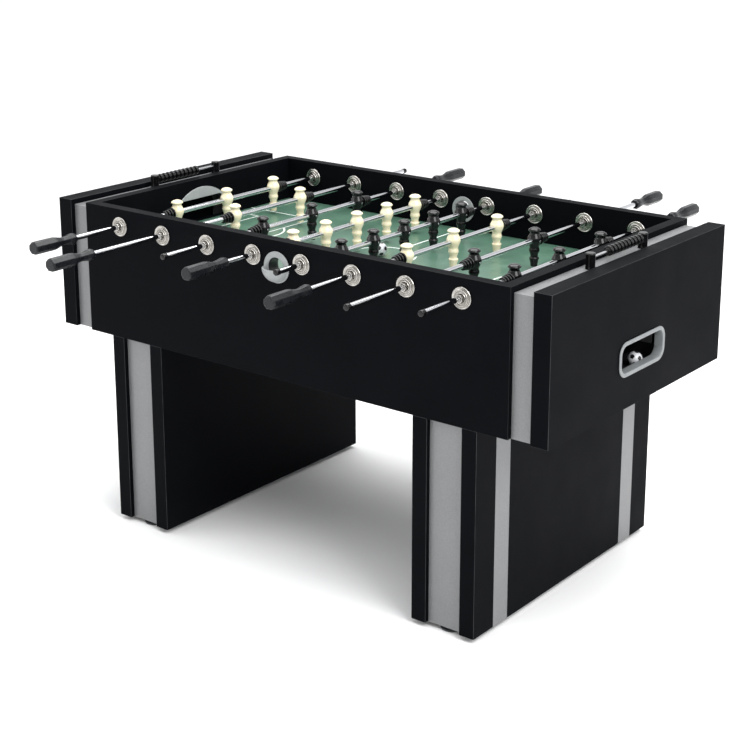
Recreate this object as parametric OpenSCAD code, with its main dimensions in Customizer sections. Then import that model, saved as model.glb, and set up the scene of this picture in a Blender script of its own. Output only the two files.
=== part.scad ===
// Foosball table: a cabinet on two slab legs, eight playing rods and two score counters.
// X runs along the table, Y across it and Z up. The origin is on the floor, under the centre spot.

/* [Cabinet] */
// Width across the two side boards
table_w = 785; // [650:5:950]
// Height from the floor to the top edge
table_h = 850; // [700:5:1020]
// Depth of the cabinet boards, from the top edge down
cabinet_d = 340; // [300:5:410]
// Thickness of each side board
side_t = 28; // [20:1:34]
// Thickness of the board behind each goal
wall_t = 28; // [20:1:34]
// Thickness of the outer end panels
panel_t = 45; // [36:1:56]
// Thickness of the silver spacer between end wall and end panel
spacer_t = 56; // [50:1:70]
// How far the spacer sits back from the side faces
spacer_recess = 12; // [4:1:20]
// How far the spacer sits below the top edge
spacer_drop = 14; // [4:1:20]
// Thickness of the board that closes the cabinet below
floor_t = 12; // [9:1:18]

/* [Pitch] */
// Thickness of the playing board
pitch_t = 8; // [5:1:12]
// Depth of the groove that holds the playing board
groove_d = 5; // [3:1:8]
// Gap between the feet of the men and the pitch
foot_gap = 8; // [5:0.5:12]

/* [Legs] */
// Distance from the end panel's outer face to the leg's outer face
leg_inset = 181; // [120:1:240]
// Thickness of each leg slab, over both panels
leg_t = 174; // [140:1:210]
// Thickness of each leg panel
leg_panel_t = 40; // [30:1:50]
// Thickness of the silver filler boards
filler_t = 16; // [12:1:20]
// How far the fillers sit back from the leg's edges
filler_recess = 12; // [4:1:20]
// Width of the silver stripes
stripe_w = 57; // [40:1:70]
// Distance from the leg's edge to the stripe
stripe_inset = 79; // [60:1:100]
// Depth of the stripe, flush with the panel
stripe_t = 3; // [2:0.5:5]
// Thickness of the cross boards inside a leg
cross_t = 18; // [15:1:24]

/* [Levellers] */
// Radius of the leveller's pad
pad_r = 26; // [18:1:30]
// Gap from the floor to the bottom of the leg with the leveller fully in
pad_h = 12; // [9:1:20]
// Radius of the leveller's stem
stem_r = 5; // [4:0.5:6]
// How far the leveller unscrews
leveller_travel = 15; // [8:1:16]
// Distance from the filler's back face to the leveller's axis
leveller_inset = 12; // [10:1:30]

/* [Rods and men] */
// Distance between neighbouring rods
rod_pitch = 150; // [125:1:180]
// Diameter of the steel rods
rod_d = 13; // [11:0.5:16]
// Height of the rods' axes below the top edge
axis_drop = 45; // [38:1:54]
// Gap between the feet of men on neighbouring rods
man_gap = 20; // [8:1:30]
// Gap between the goalkeepers' feet and the goal wall
goalie_gap = 31; // [15:1:40]
// Radius of a man at the chest
man_r = 17.5; // [15:0.5:21]
// Height of a man's head above the rod's axis
head_rise = 33; // [28:1:44]
// Travel of the two-man rods, each way
travel_2 = 170.5; // [140:0.5:200]
// Travel of the three-man rods, each way
travel_3 = 110.5; // [90:0.5:140]
// Travel of the five-man rods, each way
travel_5 = 52.5; // [40:0.5:70]
// Length of the rubber bumpers
bumper_l = 32; // [22:1:38]
// Radius of the bumper beside the man
bumper_r = 15; // [12:0.5:18]
// Length of the hand grips
grip_l = 133; // [110:1:165]
// Radius of the grips over the corners
grip_r = 16.5; // [13.5:0.5:20]
// Bare rod between the bearing and the grip when a rod is pushed in
bare_rod = 26; // [16:1:60]
// Extra bare rod on the two-man rods
bare_rod_2 = 19; // [0:1:40]
// Length of the caps on the rods' plain ends
cap_l = 14; // [11:1:20]
// Gap between the bearing and the cap when a rod is pulled out
cap_gap = 12; // [2:1:16]

/* [Bearings] */
// Radius of the bearing flanges
flange_r = 25; // [20:0.5:30]
// How far a flange stands out of the board
flange_t = 7; // [5:0.5:10]
// Radius of the bearing sleeve
sleeve_r = 10; // [9:0.5:12]
// How far a sleeve stands out of the board
sleeve_out = 14; // [11:0.5:18]

/* [Balls, goals and ball return] */
// Diameter of the ball
ball_d = 35; // [30:0.5:42]
// Radius of the goal arch
goal_r = 130; // [108:1:140]
// How far the middle of the goal arch lies below the pitch
goal_drop = 34; // [28:1:41]
// Width of the goal arch at its crown
goal_crown = 30; // [24:1:36]
// Width of the goal arch at its sides
goal_side = 6; // [5:0.5:8]
// Thickness of the goal frame plate
goal_t = 3; // [2:0.5:5]
// Width of the ball return bezel
bezel_w = 208; // [175:1:240]
// Height of the ball return bezel
bezel_h = 84; // [70:1:101]
// Face width of the bezel
bezel_face = 10; // [7:0.5:13]
// How far the bezel stands out of the end panel
bezel_t = 3; // [2:0.5:5]
// Height of the bezel's middle below the top edge
bezel_drop = 221; // [190:1:240]
// Depth of the bezel's inner wall, with the ball shaft behind it
mouth_t = 20; // [14:1:28]
// Depth of the tray floor below the bezel's lower edge
tray_drop = 10.5; // [8:0.5:30]
// Wall of the ball tray
tray_t = 4; // [3:0.5:5]
// Radius of the serving ring
ring_r = 38; // [32:0.5:42]
// How far the serving ring stands out
ring_t = 4; // [3:0.5:5]
// Wall of the serving tube
tube_t = 3; // [2:0.5:4]
// Height of the serving ring's middle below the top edge
ring_drop = 64; // [52:1:76]
// How far the serving cup stands out of its ring
cup_out = 32; // [26:1:34]
// Wall of the serving cup
cup_wall = 3.5; // [2.5:0.5:4]

/* [Score counters] */
// Distance between the two posts of a counter
post_span = 236; // [220:1:280]
// Radius of a post
post_r = 11.5; // [9.5:0.5:14]
// Height of a post
post_h = 37; // [31:1:46]
// How far the counter's rod lies below the top of its posts
score_drop = 12; // [9:1:14]
// Radius of the counter's rod
score_rod_r = 3; // [2.5:0.25:4]
// Radius of a bead
bead_r = 12; // [10:0.5:14]
// Length of a bead
bead_l = 14.9; // [12:0.1:18]
// Number of beads
bead_n = 10; // [5:1:10]

/* [Clearances] */
// Radial clearance of shafts that turn or slide
run_fit = 0.05; // [0.02:0.01:0.1]
// Radial clearance of pieces seated in holes
seat_fit = 0.05; // [0.02:0.01:0.1]
// Gap between pieces that move past each other
pass_gap = 0.3; // [0.2:0.1:0.6]

/* [Hidden] */
$fn = 64;
RODS = 8;
cut = 1;

// Rod 1 is at the left end. Rods 1, 2, 4 and 6 are the cream team's, with grips in front.
MEN = [3, 2, 3, 5, 5, 3, 2, 3];
GRIP_SIDE = [-1, -1, 1, -1, 1, -1, 1, 1];
CREAM = [1, 1, 0, 1, 0, 1, 0, 0];
black = "#17181a";
cream = "#efe6c6";
silver = "#a9adaf";

// Cabinet planes
rod_r = rod_d / 2;
foot_reach = (rod_pitch - man_gap) / 2;
in_x = (RODS - 1) / 2 * rod_pitch + foot_reach + goalie_gap;
wall_x = in_x + wall_t;
panel_x = wall_x + spacer_t;
half_l = panel_x + panel_t;
half_w = table_w / 2;
in_y = half_w - side_t;
cab_z = table_h - cabinet_d;
axis_z = table_h - axis_drop;
pitch_z = axis_z - foot_reach - foot_gap;
spacer_z = table_h - spacer_drop;
groove_gap = 0.5;
function rod_x(i) = (i - (RODS + 1) / 2) * rod_pitch;

// Goal mouth: an arch cut off flat at its top, so the frame is widest at its crown
goal_cz = pitch_z - goal_drop;
goal_top = goal_cz + goal_r;

// Ball return: hole in the panel, shaft behind it and tray
bezel_z = table_h - bezel_drop;
bezel_corner = bezel_h * 0.36;
hole_inset = bezel_face * 0.6;
tray_z = bezel_z - bezel_h / 2 - tray_drop;
shaft_side = 27;
shaft_w = bezel_w + 2 * shaft_side;
shaft_room = 16;
shaft_top = goal_top - goal_crown + shaft_room;
tray_lip = 30;
mouth_x = half_l - mouth_t;
pocket_room = 6;
pocket_top = bezel_z + bezel_h / 2 + pocket_room;
return_y = 38.5;

// Serving ring
ring_z = table_h - ring_drop;
ball_room = 6.5;
tube_in = ball_d / 2 + ball_room;
tube_out = tube_in + tube_t;
cup_inset = 2;
cup_r = ring_r - cup_inset;
cup_back = cup_r - cup_out;
inner_ring_r = ring_r - 3;
inner_ring_t = ring_t - 1;

// Rods: each stops when its bumper meets the bearing sleeve
bumper_gap = 0.5;
stop_y = in_y - sleeve_out;
man_end = man_r + bumper_gap + bumper_l;
function travel(n) = n == 2 ? travel_2 : n == 3 ? travel_3 : travel_5;
function outer_man(n) = stop_y - pass_gap - travel(n) - man_end;
function men_y(n) = [for (k = [0:n - 1]) -outer_man(n) + 2 * outer_man(n) * k / (n - 1)];
function reach_y(n) = half_w + sleeve_out + travel(n);
function cap_y(n) = reach_y(n) + cap_gap;
function grip_y(n) = reach_y(n) + bare_rod + (n == 2 ? bare_rod_2 : 0);
cap_top = 4;
cap_wall = 1.2;
cap_bore = cap_l - cap_top;
grip_top = 20;
grip_bore = grip_l - grip_top;
waist_wall = 3.5;
rod_end_gap = 1;

// Legs
leg_x2 = half_l - leg_inset;
leg_x1 = leg_x2 - leg_t;
leg_mid = (leg_x1 + leg_x2) / 2;
core_t = leg_t - 2 * leg_panel_t;
filler_y = half_w - filler_recess;
cross_y = filler_y - filler_t;
leveller_y = cross_y - leveller_inset;
bolt_r = 4;
bolt_tip = 6;
bolt_head_r = 6.8;
bolt_head_h = 5;
bolt_key_r = 3;
bolt_key_h = 3;
bolt_x = core_t / 4;
bolt_y = cross_y * 0.6;

// Counters
score_x = wall_x + spacer_t / 2;
score_z = spacer_z + post_h - score_drop;
bead_gap = 0.2;
bead_pitch = bead_l + bead_gap;
bead_row = bead_n * bead_pitch - bead_gap;
end_gap = 1;
bead_end = post_span / 2 - post_r - end_gap;

// ---- Helpers ----

// Draws its children at both ends of the table, turned half round about Z
module both_ends() {
    children();
    rotate([0, 0, 180]) children();
}

// Draws its children on both long sides, mirrored in Y
module both_sides() {
    children();
    mirror([0, 1, 0]) children();
}

// Extrudes a YZ outline along X, from x for a thickness t
module along_x(x, t) {
    translate([x, 0, 0]) rotate([90, 0, 90]) linear_extrude(t) children();
}

// Box given by its low corner and its high corner
module span(a, b) {
    translate(a) cube(b - a);
}

// Puts +Z along +Y at rod i, or along -Y when side is -1
module on_axis(i, side) {
    translate([rod_x(i), 0, axis_z]) mirror([0, side > 0 ? 1 : 0, 0]) rotate([90, 0, 0]) children();
}

module rounded_rect(w, h, r) {
    square([w - 2 * r, h], center = true);
    square([w, h - 2 * r], center = true);
    for (x = [-1, 1], y = [-1, 1])
        translate([x * (w / 2 - r), y * (h / 2 - r)]) circle(r);
}

// ---- Cabinet ----

module side_board() {
    color(black) difference() {
        span([-wall_x, -half_w, cab_z], [wall_x, -in_y, table_h]);
        for (i = [1:RODS])
            translate([rod_x(i), -half_w - cut, axis_z]) rotate([-90, 0, 0])
                cylinder(r = sleeve_r + seat_fit, h = side_t + 2 * cut);
        translate([0, -half_w - cut, ring_z]) rotate([-90, 0, 0])
            cylinder(r = tube_out + seat_fit, h = side_t + 2 * cut);
        span([-in_x - groove_d, -in_y - groove_d, pitch_z - pitch_t],
             [in_x + groove_d, -in_y + cut, pitch_z + seat_fit]);
    }
}

module goal_mouth(grow) {
    intersection() {
        translate([0, goal_cz]) circle(goal_r - goal_side + grow, $fn = 128);
        translate([-goal_r, pitch_z]) square([2 * goal_r, goal_top - goal_crown + grow - pitch_z]);
    }
}

module end_wall() {
    color(black) difference() {
        span([in_x, -in_y, cab_z], [wall_x, in_y, table_h]);
        along_x(in_x - cut, wall_t + 2 * cut) goal_mouth(seat_fit);
        span([in_x - cut, -in_y - cut, pitch_z - pitch_t],
             [in_x + groove_d, in_y + cut, pitch_z + seat_fit]);
    }
}

module end_spacer() {
    color(silver) difference() {
        span([wall_x, -half_w + spacer_recess, cab_z], [panel_x, half_w - spacer_recess, spacer_z]);
        span([wall_x - cut, -shaft_w / 2, tray_z - tray_t], [panel_x + cut, shaft_w / 2, shaft_top]);
    }
}

module end_panel() {
    color(black) difference() {
        span([panel_x, -half_w, cab_z], [half_l, half_w, table_h]);
        along_x(panel_x - cut, panel_t + 2 * cut) translate([0, bezel_z])
            rounded_rect(bezel_w - 2 * hole_inset, bezel_h - 2 * hole_inset, bezel_corner - hole_inset);
        span([panel_x - cut, -shaft_w / 2, tray_z - tray_t], [mouth_x, shaft_w / 2, pocket_top]);
    }
}

module cabinet_floor() {
    color(black) difference() {
        span([-in_x, -in_y, cab_z], [in_x, in_y, cab_z + floor_t]);
        both_ends() at_bolts() cylinder(r = bolt_r + seat_fit, h = 4 * floor_t, center = true);
    }
}

module pitch_board() {
    edge = groove_d - groove_gap;
    color("#3f6f58")
        span([-in_x - edge, -in_y - edge, pitch_z - pitch_t], [in_x + edge, in_y + edge, pitch_z]);
}

module goal_frame() {
    color(silver) along_x(in_x - goal_t, goal_t) difference() {
        intersection() {
            translate([0, goal_cz]) circle(goal_r, $fn = 128);
            translate([-goal_r, pitch_z]) square([2 * goal_r, 2 * goal_r]);
        }
        goal_mouth(0);
    }
}

module ball_tray() {
    y1 = shaft_w / 2 - seat_fit;
    color(black) {
        span([wall_x, -y1, tray_z - tray_t], [mouth_x, y1, tray_z]);
        both_sides() span([wall_x, y1 - tray_t, tray_z], [mouth_x, y1, tray_z + tray_lip]);
    }
}

module bezel() {
    color(silver) difference() {
        union() {
            along_x(half_l, bezel_t) translate([0, bezel_z])
                rounded_rect(bezel_w, bezel_h, bezel_corner);
            along_x(mouth_x, mouth_t) translate([0, bezel_z])
                rounded_rect(bezel_w - 2 * hole_inset - 2 * seat_fit,
                             bezel_h - 2 * hole_inset - 2 * seat_fit,
                             bezel_corner - hole_inset - seat_fit);
        }
        along_x(mouth_x - cut, mouth_t + bezel_t + 2 * cut) translate([0, bezel_z])
            rounded_rect(bezel_w - 2 * bezel_face, bezel_h - 2 * bezel_face, bezel_corner - bezel_face);
    }
}

// Serving ring, its tube through the side board, and the half cup below it
module entry_cup() {
    far = 2 * cup_r;
    color(silver) {
        translate([0, -half_w, ring_z]) rotate([90, 0, 0]) difference() {
            union() {
                cylinder(r = ring_r, h = ring_t);
                translate([0, 0, -side_t]) cylinder(r = tube_out, h = side_t);
            }
            translate([0, 0, -side_t - cut]) cylinder(r = tube_in, h = side_t + ring_t + 2 * cut);
        }
        translate([0, -in_y, ring_z]) rotate([-90, 0, 0]) difference() {
            cylinder(r = inner_ring_r, h = inner_ring_t);
            translate([0, 0, -cut]) cylinder(r = tube_in, h = inner_ring_t + 2 * cut);
        }
        difference() {
            translate([0, -half_w - ring_t + cup_back, ring_z]) difference() {
                sphere(cup_r);
                sphere(cup_r - cup_wall);
            }
            span([-far, -half_w - ring_t, ring_z - far], [far, -half_w + far, ring_z + far]);
            span([-far, -half_w - far, ring_z], [far, -half_w, ring_z + far]);
        }
    }
}

// ---- Bearings ----

module bearing_sleeve(i) {
    l = side_t + 2 * sleeve_out;
    on_axis(i, -1) translate([0, 0, stop_y]) difference() {
        cylinder(r = sleeve_r, h = l);
        translate([0, 0, -cut]) cylinder(r = rod_r + run_fit, h = l + 2 * cut);
    }
}

// Stepped flange, its back face at z = 0
module flange() {
    hub = sleeve_r + seat_fit;
    dish = flange_r - hub;
    rim = 1.2;
    rotate_extrude() polygon([
        [hub, 0], [flange_r, 0], [flange_r, 0.26 * flange_t], [flange_r - rim, 0.4 * flange_t],
        [hub + 0.6 * dish, 0.4 * flange_t], [hub + 0.52 * dish, 0.8 * flange_t],
        [hub + 0.4 * dish, flange_t], [hub + 0.1 * dish, flange_t], [hub, 0.85 * flange_t]
    ]);
}

module flange_pair(i) {
    translate([rod_x(i), -half_w, axis_z]) rotate([90, 0, 0]) flange();
    translate([rod_x(i), -in_y, axis_z]) rotate([-90, 0, 0]) flange();
}

// ---- Rods, men, grips, caps and bumpers ----

module rod(i) {
    n = MEN[i - 1];
    back = cap_y(n) + cap_bore - rod_end_gap;
    front = grip_y(n) + grip_bore - rod_end_gap;
    color("#c9ccd0") on_axis(i, GRIP_SIDE[i - 1])
        translate([0, 0, -back]) cylinder(r = rod_r, h = back + front);
}

// Turned figure, standing on Z with the rod's axis at z = 0
module man() {
    f = foot_reach;
    h = head_rise;
    neck_r = 0.66 * man_r;
    head_r = 0.9 * man_r;
    leg_r = 0.7 * man_r;
    difference() {
        rotate_extrude() polygon([
            [0, -f], [0.7 * leg_r, -f], [0.96 * leg_r, -0.74 * f], [leg_r, -0.71 * f],
            [leg_r, -0.67 * f], [0.78 * leg_r, -0.63 * f], [0.9 * leg_r, -0.5 * f],
            [1.07 * leg_r, -0.4 * f], [leg_r, -0.31 * f], [0.94 * leg_r, -0.25 * f],
            [0.84 * man_r, -0.12 * f], [0.96 * man_r, -0.02 * f], [man_r, 0.12 * h],
            [0.93 * man_r, 0.3 * h], [neck_r, 0.54 * h], [neck_r, 0.62 * h],
            [head_r, 0.74 * h], [head_r, 0.8 * h], [0.7 * head_r, 0.94 * h], [0, h]
        ]);
        rotate([90, 0, 0]) cylinder(r = rod_r + seat_fit, h = 3 * man_r, center = true);
    }
}

module players(i) {
    color(CREAM[i - 1] == 1 ? cream : black)
        for (y = men_y(MEN[i - 1])) translate([rod_x(i), y, axis_z]) man();
}

// Grip: an eight-sided bar, turned down to a collar and a waist at the rod's side
module grip() {
    waist = rod_r + waist_wall;
    l = grip_l;
    r = grip_r;
    difference() {
        intersection() {
            rotate([0, 0, 22.5]) cylinder(r = r, h = l, $fn = 8);
            rotate_extrude() polygon([
                [0, 0], [0.7 * r, 0], [0.86 * r, 0.03 * l], [0.86 * r, 0.11 * l],
                [waist + 0.5, 0.25 * l], [waist, 0.29 * l], [waist + 0.7, 0.33 * l],
                [0.95 * r, 0.46 * l], [1.01 * r, 0.51 * l], [1.01 * r, 0.9 * l],
                [0.9 * r, 0.96 * l], [0.7 * r, l], [0, l]
            ]);
        }
        translate([0, 0, -cut]) cylinder(r = rod_r + seat_fit, h = grip_bore + cut);
    }
}

module end_cap() {
    r = rod_r + cap_wall;
    bore = rod_r + seat_fit;
    rotate_extrude() polygon([
        [bore, 0], [r - 0.4 * cap_wall, 0], [r, 0.1 * cap_l], [r, 0.86 * cap_l],
        [0.84 * r, 0.96 * cap_l], [0.6 * r, cap_l], [0, cap_l], [0, cap_bore], [bore, cap_bore]
    ]);
}

module grip_and_cap(i) {
    n = MEN[i - 1];
    color("#303338") on_axis(i, GRIP_SIDE[i - 1]) translate([0, 0, grip_y(n)]) grip();
    color("black") on_axis(i, -GRIP_SIDE[i - 1]) translate([0, 0, cap_y(n)]) end_cap();
}

// Ribbed bumper: four rings that get smaller away from the man
module bumper() {
    rings = 4;
    ring_l = 0.17 * bumper_l;
    step = (bumper_l - ring_l) / (rings - 1);
    drop = 0.15 * (bumper_r - rod_r);
    groove = 0.35 * (bumper_r - rod_r);
    bore = rod_r + run_fit;
    rotate_extrude() polygon(concat([[bore, bumper_l], [bore, 0]], [
        for (k = [0:rings - 1]) let (r = bumper_r - k * drop, y = k * step) each [
            [r - groove, y], [r, y + 0.15 * ring_l], [r, y + 0.85 * ring_l], [r - groove, y + ring_l]
        ]
    ]));
}

module bumpers(i) {
    y = outer_man(MEN[i - 1]) + man_r + bumper_gap;
    color("#101113") for (s = [-1, 1]) on_axis(i, s) translate([0, 0, y]) bumper();
}

// ---- Legs and levellers ----

module leg_panel_pair() {
    color(black) {
        span([leg_x1, -half_w, pad_h], [leg_x1 + leg_panel_t, half_w, cab_z]);
        difference() {
            span([leg_x2 - leg_panel_t, -half_w, pad_h], [leg_x2, half_w, cab_z]);
            both_sides() stripe(cut);
        }
    }
}

// Stripe in the leg's outer face; over is how far the cutter runs past the edges
module stripe(over) {
    y = half_w - stripe_inset;
    span([leg_x2 - stripe_t, -y, pad_h - over], [leg_x2 + over, -y + stripe_w, cab_z + over]);
}

module leg_trim() {
    color(silver) both_sides() {
        stripe(0);
        span([leg_mid - core_t / 2, -filler_y, pad_h], [leg_mid + core_t / 2, -cross_y, cab_z]);
    }
}

module cross_boards() {
    color("#6b5a45") {
        difference() {
            cross_board(pad_h);
            both_sides() translate([leg_mid, leveller_y, 0])
                cylinder(r = stem_r + run_fit, h = pad_h + 2 * cross_t);
        }
        difference() {
            cross_board(cab_z - cross_t);
            at_bolts() cylinder(r = bolt_r + seat_fit, h = 4 * cross_t, center = true);
        }
    }
}

module cross_board(z) {
    span([leg_mid - core_t / 2, -cross_y, z], [leg_mid + core_t / 2, cross_y, z + cross_t]);
}

// Puts its children on the four bolt axes of the right leg, at the underside of the cabinet
module at_bolts() {
    for (x = [-1, 1], y = [-1, 1])
        translate([leg_mid + x * bolt_x, y * bolt_y, cab_z]) children();
}

module bolt() {
    low = cross_t + bolt_tip;
    difference() {
        union() {
            translate([0, 0, -low]) cylinder(r = bolt_r, h = low + floor_t);
            translate([0, 0, floor_t]) cylinder(r = bolt_head_r, h = bolt_head_h);
        }
        translate([0, 0, floor_t + bolt_head_h - bolt_key_h])
            cylinder(r = bolt_key_r, h = bolt_key_h + cut, $fn = 6);
    }
}

module leveller(i) {
    sx = i <= 2 ? -1 : 1;
    sy = i % 2 == 0 ? 1 : -1;
    top = pad_h + cross_t + leveller_travel;
    edge = 1.5;
    tip = 1;
    color("#1b1c1e") translate([sx * leg_mid, sy * leveller_y, 0]) rotate_extrude() polygon([
        [0, 0], [pad_r - edge, 0], [pad_r, edge], [pad_r, 0.45 * pad_h], [0.6 * pad_r, 0.65 * pad_h],
        [1.8 * stem_r, 0.7 * pad_h], [1.8 * stem_r, pad_h - pass_gap], [stem_r, pad_h - pass_gap],
        [stem_r, top - tip], [stem_r - tip, top], [0, top]
    ]);
}

// ---- Score counters ----

module score_post() {
    rotate_extrude() polygon([
        [0, 0], [post_r, 0], [post_r, 0.92 * post_h], [0.86 * post_r, post_h], [0, post_h]
    ]);
}

module score_posts() {
    color("#1b1c1e") both_ends() both_sides() difference() {
        translate([score_x, post_span / 2, spacer_z]) score_post();
        translate([score_x, 0, score_z]) rotate([-90, 0, 0])
            cylinder(r = score_rod_r + seat_fit, h = post_span / 2 + 0.6 * post_r);
    }
}

module score_rod() {
    l = post_span + post_r;
    color("#d5d8db") translate([score_x, -l / 2, score_z]) rotate([-90, 0, 0])
        cylinder(r = score_rod_r, h = l);
}

module bead() {
    r = score_rod_r + run_fit;
    rotate_extrude() polygon([
        [r, 0], [0.62 * bead_r, 0], [0.88 * bead_r, 0.14 * bead_l], [bead_r, 0.36 * bead_l],
        [bead_r, 0.64 * bead_l], [0.88 * bead_r, 0.86 * bead_l], [0.62 * bead_r, bead_l], [r, bead_l]
    ]);
}

// Row of beads at the far post of the right-hand counter
module beads() {
    color("#141518") for (k = [0:bead_n - 1])
        translate([score_x, bead_end - bead_row + k * bead_pitch, score_z]) rotate([-90, 0, 0]) bead();
}

module ball(x, y, z) {
    color("#f0efea") translate([x, y, z + ball_d / 2]) sphere(ball_d / 2);
}

// ---- Nodes ----

for (i = [1:RODS]) {
    rod(i);
    players(i);
    grip_and_cap(i);
    bumpers(i);
}
for (i = [1:4])
    leveller(i);
side_board();  // side_panel_front
mirror([0, 1, 0]) side_board();  // side_panel_rear
rotate([0, 0, 180]) end_wall();  // end_wall_left
end_wall();  // end_wall_right
both_ends() end_panel();  // end_panels
both_ends() end_spacer();  // end_spacers
cabinet_floor();
pitch_board();
both_ends() goal_frame();  // goal_frames
both_ends() ball_tray();  // ball_trays
both_ends() bezel();  // ball_return_bezels
both_ends() entry_cup();  // ball_entry_cups
color("#b9b9b6") both_sides() for (i = [1:RODS]) bearing_sleeve(i);  // rod_bearings
color("#c4c2bd") both_sides() for (i = [1:RODS]) flange_pair(i);  // bearing_flanges
both_ends() leg_panel_pair();  // leg_panels
both_ends() leg_trim();  // leg_silver_trim
both_ends() cross_boards();  // leg_cross_boards
color("#8d9094") both_ends() at_bolts() bolt();  // leg_bolts
score_posts();
both_ends() score_rod();  // score_rods
rotate([0, 0, 180]) beads();  // score_beads_left
beads();  // score_beads_right
ball(0, 0, pitch_z);  // pitch_ball
ball(mouth_x - ball_d / 2 - pass_gap, return_y, tray_z);  // return_ball
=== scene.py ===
# %% [markdown]
# # A foosball table, dressed for a studio picture
#
# The table is a black laminate cabinet on two slab legs. Eight steel rods cross it, with
# turned men on them, and two bead counters keep the score. This lesson only adds looks:
# rounded edges, smooth turned parts, painted lines and materials made of nodes.

# %% Load the frame
import math

import bmesh
import bpy
from mathutils import Matrix, Vector


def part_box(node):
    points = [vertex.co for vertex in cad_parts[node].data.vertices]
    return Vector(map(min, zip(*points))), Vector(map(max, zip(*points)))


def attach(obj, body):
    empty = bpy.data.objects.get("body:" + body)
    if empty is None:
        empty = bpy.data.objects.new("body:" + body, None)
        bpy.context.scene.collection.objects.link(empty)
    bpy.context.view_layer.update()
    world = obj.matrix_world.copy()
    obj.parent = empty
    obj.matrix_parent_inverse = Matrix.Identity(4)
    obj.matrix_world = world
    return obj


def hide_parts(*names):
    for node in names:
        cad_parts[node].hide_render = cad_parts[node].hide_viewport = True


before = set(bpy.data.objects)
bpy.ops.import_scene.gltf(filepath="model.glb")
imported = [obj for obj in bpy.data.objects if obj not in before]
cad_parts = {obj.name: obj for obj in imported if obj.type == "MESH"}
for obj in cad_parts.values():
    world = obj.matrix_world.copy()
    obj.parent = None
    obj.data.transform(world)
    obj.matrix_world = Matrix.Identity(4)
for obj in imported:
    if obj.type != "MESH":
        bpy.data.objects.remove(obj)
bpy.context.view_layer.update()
print("nodes in the frame:", len(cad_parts))

# %% [markdown]
# ## The sizes that everything else uses
#
# A box drawn round a node tells us where its part is. Reading the sizes from those boxes,
# and not typing them again, keeps the picture right when somebody changes the design.

# %% Read the frame's sizes
RODS = range(1, 9)
MEN = {1: 3, 2: 2, 3: 3, 4: 5, 5: 5, 6: 3, 7: 2, 8: 3}
CREAM_RODS = (1, 2, 4, 6)

side_low, side_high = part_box("side_panel_front")
HALF_WIDTH = -side_low.y
INNER_Y = -side_high.y
SIDE_THICKNESS = HALF_WIDTH - INNER_Y

rod_low, rod_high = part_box("rod_1")
ROD_RADIUS = (rod_high.z - rod_low.z) / 2
AXIS_Z = (rod_high.z + rod_low.z) / 2
ROD_X = {i: sum(c.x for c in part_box(f"rod_{i}")) / 2 for i in RODS}
ROD_PITCH = ROD_X[2] - ROD_X[1]

PITCH_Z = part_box("pitch_board")[1].z
INNER_X = -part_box("goal_frames")[0].x
print(f"half width {HALF_WIDTH:.4f} m, rods {ROD_PITCH:.3f} m apart, axis at {AXIS_Z:.3f} m")

# %% [markdown]
# ## Camera
#
# The camera stands to the right of the table at standing eye height, with a long lens, so
# the table keeps its proportions. The long lens looks down a little, and a small shift
# places the table in the frame.

# %% Camera
CAMERA_PLACE = Vector((2.428, -3.131, 1.772))
CAMERA_TURN = math.radians(37.85)
CAMERA_TILT = math.radians(-15.03)

camera_data = bpy.data.cameras.new("studio_camera")
camera_data.sensor_width = 36.0
camera_data.lens = 77.4
camera_data.shift_x = -0.0016
camera_data.shift_y = -0.149
camera_data.clip_end = 60.0
camera = bpy.data.objects.new("studio_camera", camera_data)
camera.location = CAMERA_PLACE
camera.rotation_euler = (math.pi / 2 + CAMERA_TILT, 0.0, CAMERA_TURN)
bpy.context.scene.collection.objects.link(camera)
bpy.context.scene.camera = camera
print("camera height", round(CAMERA_PLACE.z, 3))

# %% [markdown]
# ## Helpers for node materials
#
# A material is a small graph. Wiring each node by hand takes five lines, so `wire` makes a
# node, sets its options and feeds its inputs in one call. A value given as another node's
# output becomes a link, and any other value is set on the socket.

# %% Node helper
def feed(tree, node, inputs):
    for name, value in inputs.items():
        if isinstance(value, bpy.types.NodeSocket):
            tree.links.new(value, node.inputs[name])
        else:
            node.inputs[name].default_value = value


def wire(tree, kind, inputs={}, **options):
    node = tree.nodes.new(kind)
    for name, value in options.items():
        setattr(node, name, value)
    feed(tree, node, inputs)
    return node


def maths(tree, operation, a, b=0.0, clamp=False):
    node = wire(tree, "ShaderNodeMath", {0: a, 1: b}, operation=operation, use_clamp=clamp)
    return node.outputs[0]


def blend_colours(tree, amount, a, b):
    """A Mix node keeps its colour sockets at inputs 6 and 7 and at output 2."""
    return wire(tree, "ShaderNodeMix", {0: amount, 6: a, 7: b}, data_type="RGBA").outputs[2]


def spread(tree, value, low, high, to_low=0.0, to_high=1.0):
    """Stretches a value from one range to another, and holds it inside the new one."""
    node = wire(tree, "ShaderNodeMapRange", {"Value": value, "From Min": low, "From Max": high,
                                             "To Min": to_low, "To Max": to_high})
    return node.outputs["Result"]


# %% Group helper
def shader_group(name, ins, outs):
    """An empty shader group with its sockets. ins and outs map a socket's name to its kind."""
    tree = bpy.data.node_groups.new(name, "ShaderNodeTree")
    for label, (kind, start) in ins.items():
        socket = tree.interface.new_socket(label, in_out="INPUT", socket_type="NodeSocket" + kind)
        if start is not None:
            socket.default_value = start
    for label, kind in outs.items():
        tree.interface.new_socket(label, in_out="OUTPUT", socket_type="NodeSocket" + kind)
    return tree, tree.nodes.new("NodeGroupInput").outputs


def use_group(tree, group, inputs):
    return wire(tree, "ShaderNodeGroup", inputs, node_tree=group)


# %% [markdown]
# ## Surface effects that several materials share
#
# No real surface has one even colour. Laminate clouds a little, plastic carries a fine
# orange-peel skin, and metal shows the lines that a polishing wheel left. Each effect is a
# shader group, built once, and every material gives it its own scale and strength.

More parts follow.
